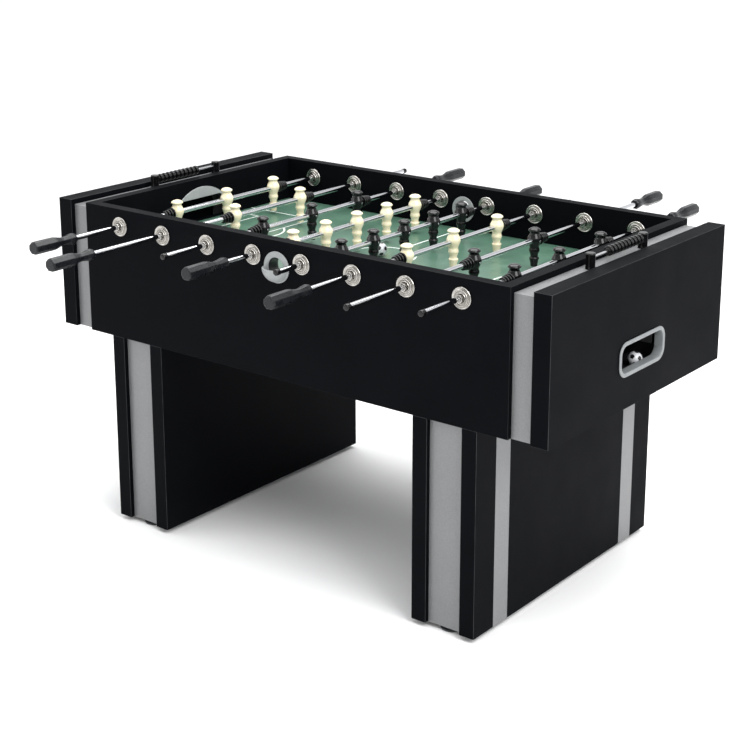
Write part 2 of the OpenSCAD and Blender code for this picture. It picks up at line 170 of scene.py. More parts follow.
# %% Group: cloudy colour and uneven gloss
def make_clouding():
    tree, start = shader_group(
        "clouding",
        {"Place": ("Vector", None), "Scale": ("Float", 12.0),
         "Colour": ("Color", (0.5, 0.5, 0.5, 1)),
         "Cloud Colour": ("Color", (0.4, 0.4, 0.4, 1)), "Roughness": ("Float", 0.5),
         "Roughness Spread": ("Float", 0.1)},
        {"Colour": "Color", "Roughness": "Float"})
    wide = wire(tree, "ShaderNodeTexNoise", {"Vector": start["Place"],
                                             "Scale": start["Scale"],
                                             "Detail": 5.0, "Roughness": 0.62})
    mask = spread(tree, wide.outputs["Fac"], 0.34, 0.68)
    colour = blend_colours(tree, mask, start["Colour"], start["Cloud Colour"])
    swing = maths(tree, "MULTIPLY", maths(tree, "SUBTRACT", mask, 0.5),
                  start["Roughness Spread"])
    rough = maths(tree, "ADD", swing, start["Roughness"], clamp=True)
    wire(tree, "NodeGroupOutput", {"Colour": colour, "Roughness": rough})
    return tree


CLOUDING = make_clouding()
print("group:", CLOUDING.name)

# %% Group: fine moulded or pressed skin
def make_fine_skin():
    tree, start = shader_group(
        "fine_skin",
        {"Place": ("Vector", None), "Scale": ("Float", 900.0), "Pore Scale": ("Float", 1400.0)},
        {"Height": "Float"})
    grain = wire(tree, "ShaderNodeTexNoise", {"Vector": start["Place"],
                                              "Scale": start["Scale"],
                                              "Detail": 3.0, "Roughness": 0.55})
    pores = wire(tree, "ShaderNodeTexVoronoi", {"Vector": start["Place"],
                                                "Scale": start["Pore Scale"]})
    pits = spread(tree, pores.outputs["Distance"], 0.05, 0.45)
    height = maths(tree, "ADD", maths(tree, "MULTIPLY", grain.outputs["Fac"], 0.7),
                   maths(tree, "MULTIPLY", pits, 0.3))
    wire(tree, "NodeGroupOutput", {"Height": height})
    return tree


FINE_SKIN = make_fine_skin()
print("group:", FINE_SKIN.name)

# %% Group: handling marks that run one way
def make_scuffs():
    tree, start = shader_group(
        "scuffs",
        {"Place": ("Vector", None), "Stretch": ("Vector", (400.0, 6.0, 400.0)),
         "Cover": ("Float", 0.6)},
        {"Mask": "Float", "Height": "Float"})
    long_place = wire(tree, "ShaderNodeVectorMath",
                      {0: start["Place"], 1: start["Stretch"]},
                      operation="MULTIPLY")
    lines = wire(tree, "ShaderNodeTexNoise", {"Vector": long_place.outputs[0], "Scale": 1.0,
                                              "Detail": 4.0, "Roughness": 0.7})
    patches = wire(tree, "ShaderNodeTexNoise",
                   {"Vector": start["Place"], "Scale": 9.0, "Detail": 2.0})
    sharp = spread(tree, lines.outputs["Fac"], 0.56, 0.7)
    where = spread(tree, patches.outputs["Fac"], start["Cover"], 1.0)
    mask = maths(tree, "MULTIPLY", sharp, where, clamp=True)
    wire(tree, "NodeGroupOutput", {"Mask": mask, "Height": lines.outputs["Fac"]})
    return tree


SCUFFS = make_scuffs()
print("group:", SCUFFS.name)

# %% [markdown]
# The rounded edges of the boards get a paler colour: a painted highlight for the thin light
# line that an edge catches, broken up unevenly like wear. Every board here is square to the
# axes, so a face whose own normal points between two axes can only be a rounded edge. The
# largest part of the normal is 1 on a flat face and about 0.7 on an edge, which gives the
# mask directly.

# %% Group: painted highlight and wear on the edges of square boards
def make_edge_wear_and_highlight():
    tree, start = shader_group(
        "edge_wear_and_highlight",
        {"Place": ("Vector", None), "Colour": ("Color", (0.1, 0.1, 0.1, 1)),
         "Highlight And Wear Colour": ("Color", (0.3, 0.3, 0.3, 1)), "Amount": ("Float", 0.6)},
        {"Colour": "Color", "Mask": "Float"})
    around = wire(tree, "ShaderNodeTexCoord")
    size = wire(tree, "ShaderNodeVectorMath", {0: around.outputs["Normal"]}, operation="ABSOLUTE")
    parts = wire(tree, "ShaderNodeSeparateXYZ", {0: size.outputs[0]})
    largest = maths(tree, "MAXIMUM", parts.outputs[0],
                    maths(tree, "MAXIMUM", parts.outputs[1], parts.outputs[2]))
    # The mask of the painted edge highlight, made uneven like wear by the noise below.
    edge = spread(tree, largest, 0.97, 0.8)
    edge_noise = wire(tree, "ShaderNodeTexNoise", {"Vector": start["Place"], "Scale": 22.0,
                                            "Detail": 6.0, "Roughness": 0.7})
    uneven = spread(tree, edge_noise.outputs["Fac"], 0.3, 0.62, 0.35, 1.0)
    mask = maths(tree, "MULTIPLY", maths(tree, "MULTIPLY", edge, uneven), start["Amount"],
                 clamp=True)
    colour = blend_colours(tree, mask, start["Colour"], start["Highlight And Wear Colour"])
    wire(tree, "NodeGroupOutput", {"Colour": colour, "Mask": mask})
    return tree


EDGE_WEAR_AND_HIGHLIGHT = make_edge_wear_and_highlight()
print("group:", EDGE_WEAR_AND_HIGHLIGHT.name)

# %% [markdown]
# ## Materials
#
# Each finish below is one Principled shader. The groups feed its colour, roughness and
# bump. What is the same all over, such as coat or metal, is set on the shader itself.

# %% A starting point for each finish
def new_finish(name):
    material = bpy.data.materials.new(name)
    material.use_nodes = True
    tree = material.node_tree
    shader = tree.nodes["Principled BSDF"]
    place = wire(tree, "ShaderNodeTexCoord").outputs["Object"]
    return material, tree, shader, place


def add_bump(tree, shader, height, depth, strength=0.5):
    bump = wire(tree, "ShaderNodeBump", {"Height": height, "Strength": strength, "Distance": depth})
    feed(tree, shader, {"Normal": bump.outputs["Normal"]})


def clouded(tree, place, scale, colour, cloud, roughness, swing):
    return use_group(tree, CLOUDING, {"Place": place, "Scale": scale, "Colour": colour,
                                      "Cloud Colour": cloud, "Roughness": roughness,
                                      "Roughness Spread": swing})


def faded(tree, mask, share):
    """A mask that never covers more than a share of what is under it."""
    return maths(tree, "MULTIPLY", mask, share)


# %% [markdown]
# The cabinet is fibreboard in a matte black laminate. Its skin is pressed with a very fine
# grain, hands leave it slightly uneven, and its edges carry a paler line, a painted highlight
# made uneven like wear.

# %% Black laminate
EDGE_POLISH = 0.12


def laminate(name, colour, cloud, worn, roughness, edge_highlight_and_wear, specular):
    material, tree, shader, place = new_finish(name)
    clouds = clouded(tree, place, 7.0, colour, cloud, roughness, 0.12)
    # The edges take the worn colour as a painted highlight, made uneven like wear.
    edges = use_group(tree, EDGE_WEAR_AND_HIGHLIGHT, {"Place": place, "Colour": clouds.outputs["Colour"],
                                        "Highlight And Wear Colour": worn, "Amount": edge_highlight_and_wear})
    marks = use_group(tree, SCUFFS, {"Place": place, "Stretch": (9.0, 9.0, 240.0), "Cover": 0.52})
    skin = use_group(tree, FINE_SKIN, {"Place": place, "Scale": 700.0, "Pore Scale": 1100.0})
    scuffed = blend_colours(tree, faded(tree, marks.outputs["Mask"], 0.05), edges.outputs["Colour"],
                            worn)
    rough = maths(tree, "SUBTRACT", clouds.outputs["Roughness"],
                  faded(tree, edges.outputs["Mask"], EDGE_POLISH), clamp=True)
    feed(tree, shader, {"Base Color": scuffed, "Roughness": rough, "Specular IOR Level": specular})
    add_bump(tree, shader, skin.outputs["Height"], 0.0002, 0.35)
    return material


# worn colours the scuff marks and also the painted highlight along the edges.
BLACK_LAMINATE = laminate("black_laminate", colour=(0.0022, 0.0025, 0.0034, 1),
                          cloud=(0.0030, 0.0034, 0.0044, 1), worn=(0.075, 0.078, 0.083, 1),
                          roughness=0.5, edge_highlight_and_wear=0.8, specular=0.02)
print("finish:", BLACK_LAMINATE.name)

# %% [markdown]
# The silver boards have a satin foil with tiny bright flakes in it. A dense cell pattern
# gives each flake its own grey.

# %% Silver laminate with flakes
FLAKE_COLOUR = (0.36, 0.365, 0.37, 1)
FLAKE_SCALE = 620.0
FLAKE_SHARE = 0.16


def silver_foil():
    material, tree, shader, place = new_finish("silver_laminate")
    clouds = clouded(tree, place, 9.0, (0.155, 0.157, 0.16, 1), (0.175, 0.177, 0.18, 1), 0.42, 0.1)
    flakes = wire(tree, "ShaderNodeTexVoronoi", {"Vector": place, "Scale": FLAKE_SCALE})
    grey = wire(tree, "ShaderNodeSeparateColor", {0: flakes.outputs["Color"]})
    shade = spread(tree, grey.outputs[0], 0.0, 1.0, 0.0, FLAKE_SHARE)
    flaked = blend_colours(tree, shade, clouds.outputs["Colour"], FLAKE_COLOUR)
    # A paler grey on the edges is a painted highlight, made uneven like wear.
    edges = use_group(tree, EDGE_WEAR_AND_HIGHLIGHT, {"Place": place, "Colour": flaked,
                                        "Highlight And Wear Colour": (0.45, 0.46, 0.47, 1), "Amount": 0.5})
    feed(tree, shader, {"Base Color": edges.outputs["Colour"],
                        "Roughness": clouds.outputs["Roughness"], "Metallic": 0.25})
    add_bump(tree, shader, grey.outputs[0], 0.00008, 0.3)
    return material


SILVER_LAMINATE = silver_foil()
print("finish:", SILVER_LAMINATE.name)

# %% [markdown]
# Inside the legs, where nobody looks, the boards are bare fibreboard: brown, dry and full
# of short fibres.

# %% Bare fibreboard
PALE_FIBRE = (0.42, 0.32, 0.21, 1)


def fibreboard():
    material, tree, shader, place = new_finish("raw_board")
    clouds = clouded(tree, place, 30.0, (0.30, 0.215, 0.13, 1), (0.235, 0.165, 0.10, 1), 0.82, 0.12)
    fibres = use_group(tree, SCUFFS, {"Place": place, "Stretch": (60.0, 420.0, 420.0),
                                      "Cover": 0.2})
    mixed = blend_colours(tree, faded(tree, fibres.outputs["Mask"], 0.5), clouds.outputs["Colour"],
                          PALE_FIBRE)
    feed(tree, shader, {"Base Color": mixed, "Roughness": clouds.outputs["Roughness"]})
    add_bump(tree, shader, fibres.outputs["Height"], 0.0003, 0.5)
    return material


RAW_BOARD = fibreboard()
print("finish:", RAW_BOARD.name)

# %% [markdown]
# The pitch is a printed board under a satin varnish. The green is mottled by the paper
# under it, and balls and feet have drawn long faint tracks along it.

# %% Green pitch and its white lines
def pitch_print(name, colour, cloud, track):
    material, tree, shader, place = new_finish(name)
    clouds = clouded(tree, place, 16.0, colour, cloud, 0.38, 0.16)
    tracks = use_group(tree, SCUFFS, {"Place": place, "Stretch": (14.0, 260.0, 14.0),
                                      "Cover": 0.35})
    drawn = blend_colours(tree, faded(tree, tracks.outputs["Mask"], 0.3), clouds.outputs["Colour"],
                          track)
    skin = use_group(tree, FINE_SKIN, {"Place": place, "Scale": 420.0, "Pore Scale": 700.0})
    feed(tree, shader, {"Base Color": drawn, "Roughness": clouds.outputs["Roughness"],
                        "Coat Weight": 0.25, "Coat Roughness": 0.22})
    add_bump(tree, shader, skin.outputs["Height"], 0.0002, 0.25)
    return material


GREEN_PITCH = pitch_print("green_pitch", (0.058, 0.128, 0.088, 1), (0.068, 0.148, 0.102, 1),
                          (0.10, 0.20, 0.145, 1))
WHITE_LINE = pitch_print("white_line", (0.74, 0.78, 0.75, 1), (0.66, 0.71, 0.68, 1),
                         (0.55, 0.62, 0.58, 1))
print("finishes:", GREEN_PITCH.name, WHITE_LINE.name)

# %% [markdown]
# Most small parts are injection moulded. One recipe covers them all: a slightly uneven
# colour, a fine skin from the mould, and light marks where the part is handled. A clear
# coat is set for the glossy ones.

# %% Moulded plastics and rubber
def moulded(name, colour, cloud, mark, roughness, skin_depth, coat=0.0, specular=0.5, soft=0.0):
    material, tree, shader, place = new_finish(name)
    clouds = clouded(tree, place, 38.0, colour, cloud, roughness, 0.12)
    marks = use_group(tree, SCUFFS, {"Place": place, "Stretch": (420.0, 60.0, 420.0), "Cover": 0.5})
    skin = use_group(tree, FINE_SKIN, {"Place": place, "Scale": 1100.0, "Pore Scale": 1500.0})
    worn = blend_colours(tree, faded(tree, marks.outputs["Mask"], 0.45), clouds.outputs["Colour"],
                         mark)
    feed(tree, shader, {"Base Color": worn, "Roughness": clouds.outputs["Roughness"],
                        "Specular IOR Level": specular, "Coat Weight": coat,
                        "Coat Roughness": 0.08})
    if soft > 0.0:
        feed(tree, shader, {"Subsurface Weight": soft, "Subsurface Scale": 0.6,
                            "Subsurface Radius": (0.006, 0.004, 0.002)})
    add_bump(tree, shader, skin.outputs["Height"], skin_depth, 0.4)
    return material


GREY_PLASTIC = moulded("grey_plastic", (0.30, 0.315, 0.315, 1), (0.265, 0.28, 0.285, 1),
                       (0.42, 0.44, 0.44, 1), 0.42, 0.00015)
BEZEL_GREY = moulded("bezel_grey", (0.185, 0.195, 0.20, 1), (0.16, 0.17, 0.175, 1),
                     (0.30, 0.31, 0.31, 1), 0.38, 0.00012)
BLACK_PLASTIC = moulded("black_plastic", (0.012, 0.0125, 0.014, 1), (0.018, 0.0185, 0.02, 1),
                        (0.07, 0.07, 0.075, 1), 0.34, 0.0001)
GLOSS_BLACK = moulded("gloss_black", (0.0025, 0.0025, 0.003, 1), (0.004, 0.004, 0.0045, 1),
                      (0.02, 0.02, 0.021, 1), 0.13, 0.00003, coat=0.1, specular=0.3)
CREAM_PLASTIC = moulded("cream_plastic", (0.83, 0.76, 0.55, 1), (0.79, 0.70, 0.48, 1),
                        (0.66, 0.57, 0.38, 1), 0.30, 0.00004, coat=0.3, soft=0.12)
GRIP_BLACK = moulded("grip_black", (0.005, 0.0056, 0.0068, 1), (0.008, 0.009, 0.0105, 1),
                     (0.04, 0.043, 0.046, 1), 0.28, 0.00012, specular=0.3)
BLACK_RUBBER = moulded("black_rubber", (0.0035, 0.0035, 0.004, 1), (0.006, 0.006, 0.0065, 1),
                       (0.03, 0.03, 0.03, 1), 0.24, 0.00006, specular=0.5)
print("finish:", CREAM_PLASTIC.name)

# %% [markdown]
# The balls are white with black patches. The two colours are two finishes on one mesh, and
# both have the grubby marks that a used ball picks up.

# %% Ball finishes
BALL_WHITE = moulded("ball_white", (0.62, 0.63, 0.65, 1), (0.55, 0.56, 0.58, 1),
                     (0.45, 0.45, 0.42, 1), 0.26, 0.00005, coat=0.4)
BALL_BLACK = moulded("ball_black", (0.006, 0.006, 0.0065, 1), (0.01, 0.01, 0.011, 1),
                     (0.05, 0.05, 0.05, 1), 0.24, 0.00005, coat=0.4)
print("finishes:", BALL_WHITE.name, BALL_BLACK.name)

# %% [markdown]
# Metal gets its look from what it mirrors, so its colour stays plain and its roughness does
# the work. The rods were polished along their length. The flanges were spun on a lathe, so
# their marks are rings round each rod.

# %% Metals
def drawn_metal(name, colour, tint, roughness, stretch):
    material, tree, shader, place = new_finish(name)
    clouds = clouded(tree, place, 26.0, colour, tint, roughness, 0.08)
    lines = use_group(tree, SCUFFS, {"Place": place, "Stretch": stretch, "Cover": 0.35})
    rough = maths(tree, "ADD", clouds.outputs["Roughness"],
                  faded(tree, lines.outputs["Mask"], 0.18), clamp=True)
    feed(tree, shader, {"Base Color": clouds.outputs["Colour"], "Roughness": rough,
                        "Metallic": 1.0})
    add_bump(tree, shader, lines.outputs["Height"], 0.00003, 0.25)
    return material


POLISHED_STEEL = drawn_metal("polished_steel", (0.72, 0.73, 0.75, 1), (0.66, 0.67, 0.70, 1), 0.08,
                             (900.0, 12.0, 900.0))
ZINC = drawn_metal("zinc", (0.52, 0.53, 0.55, 1), (0.44, 0.45, 0.47, 1), 0.34,
                   (500.0, 500.0, 30.0))

# %% Spun nickel
RING_SCALE = 1500.0


def spun_nickel():
    material, tree, shader, place = new_finish("nickel")
    parts = wire(tree, "ShaderNodeSeparateXYZ", {0: place})
    shifted = maths(tree, "SUBTRACT", parts.outputs[0], ROD_X[1] - ROD_PITCH / 2)
    within_pitch = maths(tree, "FLOORED_MODULO", shifted, ROD_PITCH)
    across = maths(tree, "SUBTRACT", within_pitch, ROD_PITCH / 2)
    up = maths(tree, "SUBTRACT", parts.outputs[2], AXIS_Z)
    radius = maths(tree, "SQRT", maths(tree, "ADD", maths(tree, "MULTIPLY", across, across),
                                       maths(tree, "MULTIPLY", up, up)))
    rings = wire(tree, "ShaderNodeTexNoise", {"W": maths(tree, "MULTIPLY", radius, RING_SCALE),
                                              "Scale": 1.0, "Detail": 3.0}, noise_dimensions="1D")
    clouds = clouded(tree, place, 60.0, (0.44, 0.425, 0.40, 1), (0.36, 0.345, 0.32, 1), 0.2, 0.12)
    rough = maths(tree, "ADD", clouds.outputs["Roughness"],
                  spread(tree, rings.outputs["Fac"], 0.45, 0.7, 0.0, 0.12), clamp=True)
    feed(tree, shader, {"Base Color": clouds.outputs["Colour"], "Roughness": rough,
                        "Metallic": 1.0})
    add_bump(tree, shader, rings.outputs["Fac"], 0.00005, 0.35)
    return material


NICKEL = spun_nickel()
print("finishes:", POLISHED_STEEL.name, ZINC.name, NICKEL.name)

# %% [markdown]
# ## Helpers for shapes
#
# A finished piece keeps its object at the origin and its place in its mesh, as the frame's
# own nodes do. `finish_piece` sets the smooth shading, the finish and the body that the
# piece moves with, and hides the plain node that it stands for.

# %% Make, dress and freeze an object
FLAT_AREA = 3e-5


def finish_piece(piece, body, slot, material=None, nodes=(), sharp=35.0):
    if material is not None:
        piece.data.materials.clear()
        piece.data.materials.append(material)
    piece.data.shade_smooth()
    piece.data.set_sharp_from_angle(angle=math.radians(sharp))
    for face in piece.data.polygons:
        square_on = max(abs(part) for part in face.normal) > 0.99999
        if square_on and face.area > FLAT_AREA:
            face.use_smooth = False
    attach(piece, body)
    if nodes:
        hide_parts(*nodes)
    return piece


def finish_mesh(mesh, name, *rest, **more):
    return finish_piece(object_from(mesh, name), *rest, **more)


def object_from(data, name):
    piece = bpy.data.objects.new(name, data)
    bpy.context.scene.collection.objects.link(piece)
    return piece


def result_mesh(piece):
    """What an object's modifiers make of it, as a plain mesh."""
    graph = bpy.context.evaluated_depsgraph_get()
    return bpy.data.meshes.new_from_object(piece.evaluated_get(graph), depsgraph=graph)


def add_bevel(piece, width, segments, sharp):
    bevel = piece.modifiers.new("round", "BEVEL")
    bevel.width = width
    bevel.segments = segments
    bevel.limit_method = "ANGLE"
    bevel.angle_limit = math.radians(sharp)


def freeze(piece):
    """Applies an object's modifiers, and leaves a plain mesh and no modifier."""
    mesh = result_mesh(piece)
    piece.modifiers.clear()
    piece.data = mesh
    return piece


def mesh_from(shape, name):
    """Turns a finished bmesh into a mesh, and frees it."""
    mesh = bpy.data.meshes.new(name)
    shape.to_mesh(mesh)
    shape.free()
    return mesh


def join_meshes(meshes, name):
    joined = bmesh.new()
    for mesh in meshes:
        joined.from_mesh(mesh)
    return mesh_from(joined, name)


# %% [markdown]
# ## Turned parts
#
# Men, bumpers, flanges, caps, beads and levellers all come off a lathe, so one function
# turns a profile of (radius, height) points round Z. A profile that starts and ends on the
# axis closes itself with one point at each pole. A ring such as a bearing is a closed loop
# of points, and its last ring joins its first.

# %% Lathe
def lathe(profile, name, steps=48, loop=False):
    shape = bmesh.new()
    rings = []
    for radius, height in profile:
        if radius < 1e-7:
            rings.append([shape.verts.new((0, 0, height))])
            continue
        turns = (2 * math.pi * k / steps for k in range(steps))
        rings.append([shape.verts.new((radius * math.cos(a), radius * math.sin(a), height))
                      for a in turns])
    pairs = list(zip(rings, rings[1:])) + ([(rings[-1], rings[0])] if loop else [])
    for low, high in pairs:
        for k in range(steps):
            n = (k + 1) % steps
            corners = [low[k % len(low)], low[n % len(low)],
                       high[n % len(high)], high[k % len(high)]]
            shape.faces.new(list(dict.fromkeys(corners)))
    bmesh.ops.recalc_face_normals(shape, faces=shape.faces)
    return mesh_from(shape, name)


def round_off(points, per_step=5):
    """A smooth curve through the points, which keeps the first and the last."""
    smooth = []
    last = len(points) - 1
    for k in range(last):
        before, here = Vector(points[max(k - 1, 0)]), Vector(points[k])
        there, after = Vector(points[k + 1]), Vector(points[min(k + 2, last)])
        for step in range(per_step):
            t = step / per_step
            bend = 2 * before - 5 * here + 4 * there - after
            twist = 3 * here - before - 3 * there + after
            place = 0.5 * (2 * here + (there - before) * t + bend * t ** 2 + twist * t ** 3)
            smooth.append((max(place.x, 0.0), place.y))
    return smooth + [tuple(points[-1])]


def sized(shares, radius, height):
    """Profile points given as shares of a part's radius and height."""
    return [(x * radius, y * height) for x, y in shares]


# %% [markdown]
# ## Rows made by Geometry Nodes
#
# Men, beads, flanges and screws repeat at an even step. A small geometry node tree puts one
# turned part on each point of a line. Its inputs are the part, how many there are, where
# the first one is, the step to the next one, how each is turned and the finish.

# %% Node tree for a row
def shape_tree(name, ins):
    """An empty geometry tree with its inputs. ins maps a socket's name to its kind."""
    tree = bpy.data.node_groups.new(name, "GeometryNodeTree")
    tree.interface.new_socket("Geometry", in_out="OUTPUT", socket_type="NodeSocketGeometry")
    for label, kind in ins.items():
        tree.interface.new_socket(label, in_out="INPUT", socket_type="NodeSocket" + kind)
    return tree, tree.nodes.new("NodeGroupInput").outputs


def close_tree(tree, shape, finish):
    """Ends a tree with real geometry in one finish."""
    real = wire(tree, "GeometryNodeRealizeInstances", {"Geometry": shape})
    painted = wire(tree, "GeometryNodeSetMaterial", {"Geometry": real.outputs["Geometry"],
                                                     "Material": finish})
    wire(tree, "NodeGroupOutput", {"Geometry": painted.outputs["Geometry"]})
    return tree


def make_row_tree():
    tree, start = shape_tree("even_row", {"Part": "Object", "Count": "Int", "First Place": "Vector",
                                          "Step": "Vector", "Turn": "Rotation",
                                          "Finish": "Material"})
    line = wire(tree, "GeometryNodeMeshLine",
                {"Count": start["Count"], "Start Location": start["First Place"],
                 "Offset": start["Step"]})
    part = wire(tree, "GeometryNodeObjectInfo", {"Object": start["Part"]})
    placed = wire(tree, "GeometryNodeInstanceOnPoints", {"Points": line.outputs["Mesh"],
                                                         "Instance": part.outputs["Geometry"],
                                                         "Rotation": start["Turn"]})
    return close_tree(tree, placed.outputs["Instances"], start["Finish"])


ROW_TREE = make_row_tree()


def set_input(modifier, label, value):
    """A modifier's input is set by its socket's identifier, which the tree's interface knows."""
    for item in modifier.node_group.interface.items_tree:
        if item.in_out == "INPUT" and item.name == label:
            modifier[item.identifier] = value
            return
    raise KeyError(label)


def even_row(name, part_mesh, count, first, step, material, turn=(0.0, 0.0, 0.0)):
    """A plain mesh of count copies of part_mesh. The tree is run once on helper objects, which are
    then removed.
    """
    part = object_from(part_mesh, name + "_part")
    row = object_from(bpy.data.meshes.new(name), name)
    modifier = row.modifiers.new("even_row", "NODES")
    modifier.node_group = ROW_TREE
    for label, value in (("Part", part), ("Count", count), ("First Place", first), ("Step", step),
                         ("Turn", turn), ("Finish", material)):
        set_input(modifier, label, value)
    mesh = result_mesh(row)
    bpy.data.objects.remove(part)
    bpy.data.objects.remove(row)
    return mesh


print("tree:", ROW_TREE.name)

# %% [markdown]
# ## Boards with rounded edges
#
# A sharp edge never catches the light, and a real board always has a small round on it. The
# frame's boards have the right shape, so each is copied, its loose triangles are merged
# into flat faces, and a narrow bevel is cut on every sharp edge. The bevel goes inwards, so
# no board grows.

# %% Copy a board and round its edges
def rounded_copy(node, name, width, segments=2, sharp=35.0):
    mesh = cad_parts[node].data.copy()
    mesh.materials.clear()
    shape = bmesh.new()
    shape.from_mesh(mesh)
    bmesh.ops.remove_doubles(shape, verts=shape.verts, dist=1e-6)
    bmesh.ops.dissolve_limit(shape, angle_limit=math.radians(0.5), verts=shape.verts,
                             edges=shape.edges)
    shape.to_mesh(mesh)
    shape.free()
    piece = object_from(mesh, name)
    add_bevel(piece, width, segments, sharp)
    return freeze(piece)


BOARD_ROUND = 0.0009
BOARDS = {
    "side_panel_front": ("front_side_board", "black_laminate", BLACK_LAMINATE, BOARD_ROUND),
    "side_panel_rear": ("rear_side_board", "black_laminate", BLACK_LAMINATE, BOARD_ROUND),
    "end_wall_left": ("left_goal_wall", "black_laminate", BLACK_LAMINATE, BOARD_ROUND),
    "end_wall_right": ("right_goal_wall", "black_laminate", BLACK_LAMINATE, BOARD_ROUND),
    "end_panels": ("outer_end_panels", "black_laminate", BLACK_LAMINATE, BOARD_ROUND),
    "end_spacers": ("silver_spacers", "silver_laminate", SILVER_LAMINATE, BOARD_ROUND),
    "leg_panels": ("leg_slabs", "black_laminate", BLACK_LAMINATE, BOARD_ROUND),
    "leg_silver_trim": ("leg_fillers_and_stripes", "silver_laminate", SILVER_LAMINATE, 0.0003),
    "goal_frames": ("goal_arches", "grey_plastic", GREY_PLASTIC, 0.0008),
    "ball_return_bezels": ("return_bezels", "grey_plastic", BEZEL_GREY, 0.0014),
    "ball_trays": ("return_trays", "black_plastic", BLACK_PLASTIC, 0.0008),
    "leg_cross_boards": ("leg_inner_boards", "raw_board", RAW_BOARD, 0.0005),
}
for node, (name, slot, material, width) in BOARDS.items():
    board = rounded_copy(node, name, width)
    finish_piece(board, "cabinet", slot, material, [node])
    print(name, len(board.data.polygons), "faces")

# %% [markdown]
# Two flat boards have no edge that anyone sees: the pitch sits in grooves, and the cabinet
# floor is enclosed. They stay as they are and only get their finishes.

# %% Finishes for boards that stay
def dress(node, material):
    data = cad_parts[node].data
    data.materials.clear()
    data.materials.append(material)


dress("pitch_board", GREEN_PITCH)
dress("cabinet_floor", BLACK_LAMINATE)
dress("leg_bolts", ZINC)

# %% [markdown]
# ## Painted lines
#
# The lines are flat ribbons that lie on the board, a tenth of a millimetre thick, as a
# screen print would be. A curve gives each line's path. A node tree sweeps a thin rectangle
# along it and caps its ends, so every line is closed.

# %% Node tree for a painted line
LINE_WIDTH = 0.0055
LINE_HEIGHT = 0.0001


def make_line_tree():
    tree, start = shape_tree("painted_line", {"Path": "Geometry", "Width": "Float",
                                              "Height": "Float", "Finish": "Material"})
    section = wire(tree, "GeometryNodeCurvePrimitiveQuadrilateral", {"Width": start["Width"],
                                                                     "Height": start["Height"]})
    swept = wire(tree, "GeometryNodeCurveToMesh",
                 {"Curve": start["Path"], "Profile Curve": section.outputs[0],
                  "Fill Caps": True})
    return close_tree(tree, swept.outputs[0], start["Finish"])


LINE_TREE = make_line_tree()

# %% Paths of the lines
CIRCLE_RADIUS = 0.090
CIRCLE_STEPS = 72
ARC_STEPS = 24
BOX_FRONT_X = 0.390
BOX_HALF = 0.203
SMALL_FRONT_X = 0.536
SMALL_HALF = 0.137
ARC_CENTRE = 0.440


def arc(centre_x, radius, start, end, steps):
    turns = (start + (end - start) * k / steps for k in range(steps + 1))
    return [(centre_x + radius * math.cos(a), radius * math.sin(a)) for a in turns]


def goal_box(front_x, half):
    return [(INNER_X, -half), (front_x, -half), (front_x, half), (INNER_X, half)]


def line_mesh(points, closed):
    path = bpy.data.curves.new("path", "CURVE")
    path.dimensions = "3D"
    spline = path.splines.new("POLY")
    spline.points.add(len(points) - 1)
    for point, (x, y) in zip(spline.points, points):
        point.co = (x, y, PITCH_Z + LINE_HEIGHT / 2, 1.0)
    spline.use_cyclic_u = closed
    line = object_from(path, "line")
    modifier = line.modifiers.new("painted_line", "NODES")
    modifier.node_group = LINE_TREE
    for label, value in (("Width", LINE_WIDTH), ("Height", LINE_HEIGHT), ("Finish", WHITE_LINE)):
        set_input(modifier, label, value)
    mesh = result_mesh(line)
    bpy.data.objects.remove(line)
    return mesh


half_arc = math.acos((ARC_CENTRE - BOX_FRONT_X) / CIRCLE_RADIUS)
right_half = [
    (goal_box(BOX_FRONT_X, BOX_HALF), False),
    (goal_box(SMALL_FRONT_X, SMALL_HALF), False),
    (arc(ARC_CENTRE, CIRCLE_RADIUS, math.pi - half_arc, math.pi + half_arc, ARC_STEPS), False),
]
left_half = [([(-x, -y) for x, y in points], closed) for points, closed in right_half]
middle = [
    ([(0.0, -INNER_Y), (0.0, -CIRCLE_RADIUS)], False),
    ([(0.0, CIRCLE_RADIUS), (0.0, INNER_Y)], False),
    (arc(0.0, CIRCLE_RADIUS, 0.0, 2 * math.pi * (CIRCLE_STEPS - 1) / CIRCLE_STEPS,
         CIRCLE_STEPS - 1), True),
]
ribbons = [line_mesh(*path) for path in right_half + left_half + middle]
lines = finish_mesh(join_meshes(ribbons, "lines"), "pitch_lines", "cabinet", "green_pitch",
                    WHITE_LINE)
print("pitch lines:", len(lines.data.polygons), "faces")

# %% [markdown]
# ## Rods
#
# A rod is a plain polished bar with a small chamfer at each end. It is turned along Z and
# then laid along Y at its place.

# %% Rods
LAY_ALONG_Y = Matrix.Rotation(-math.pi / 2, 4, "X")
LAY_AGAINST_Y = Matrix.Rotation(math.pi / 2, 4, "X")
ROD_CHAMFER = 0.0008


def bar(radius, length, chamfer, name, steps=48):
    return lathe([(0, 0), (radius - chamfer, 0), (radius, chamfer), (radius, length - chamfer),
                  (radius - chamfer, length), (0, length)], name, steps)


for i in RODS:
    low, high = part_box(f"rod_{i}")
    mesh = bar(ROD_RADIUS, high.y - low.y, ROD_CHAMFER, f"steel_rod_{i}")
    mesh.transform(Matrix.Translation((ROD_X[i], low.y, AXIS_Z)) @ LAY_ALONG_Y)
    finish_mesh(mesh, f"steel_rod_{i}", f"playing_rod_{i}", "polished_steel", POLISHED_STEEL,
                [f"rod_{i}"])
print("rod radius", round(ROD_RADIUS, 5))

# %% [markdown]
# ## The men
#
# The men are turned figures like chess pawns: a flat cap of a head, a short neck, a chest
# round the rod, a waist, a knee and a foot with a ring above it. Their profile is a list of
# shares of the chest's radius and of the height above or below the rod. Smoothing it gives
# the soft, moulded look, and the men of one rod are one even row. A smoothed curve can swell
# a little, so turned parts are drawn just inside the size of their node.

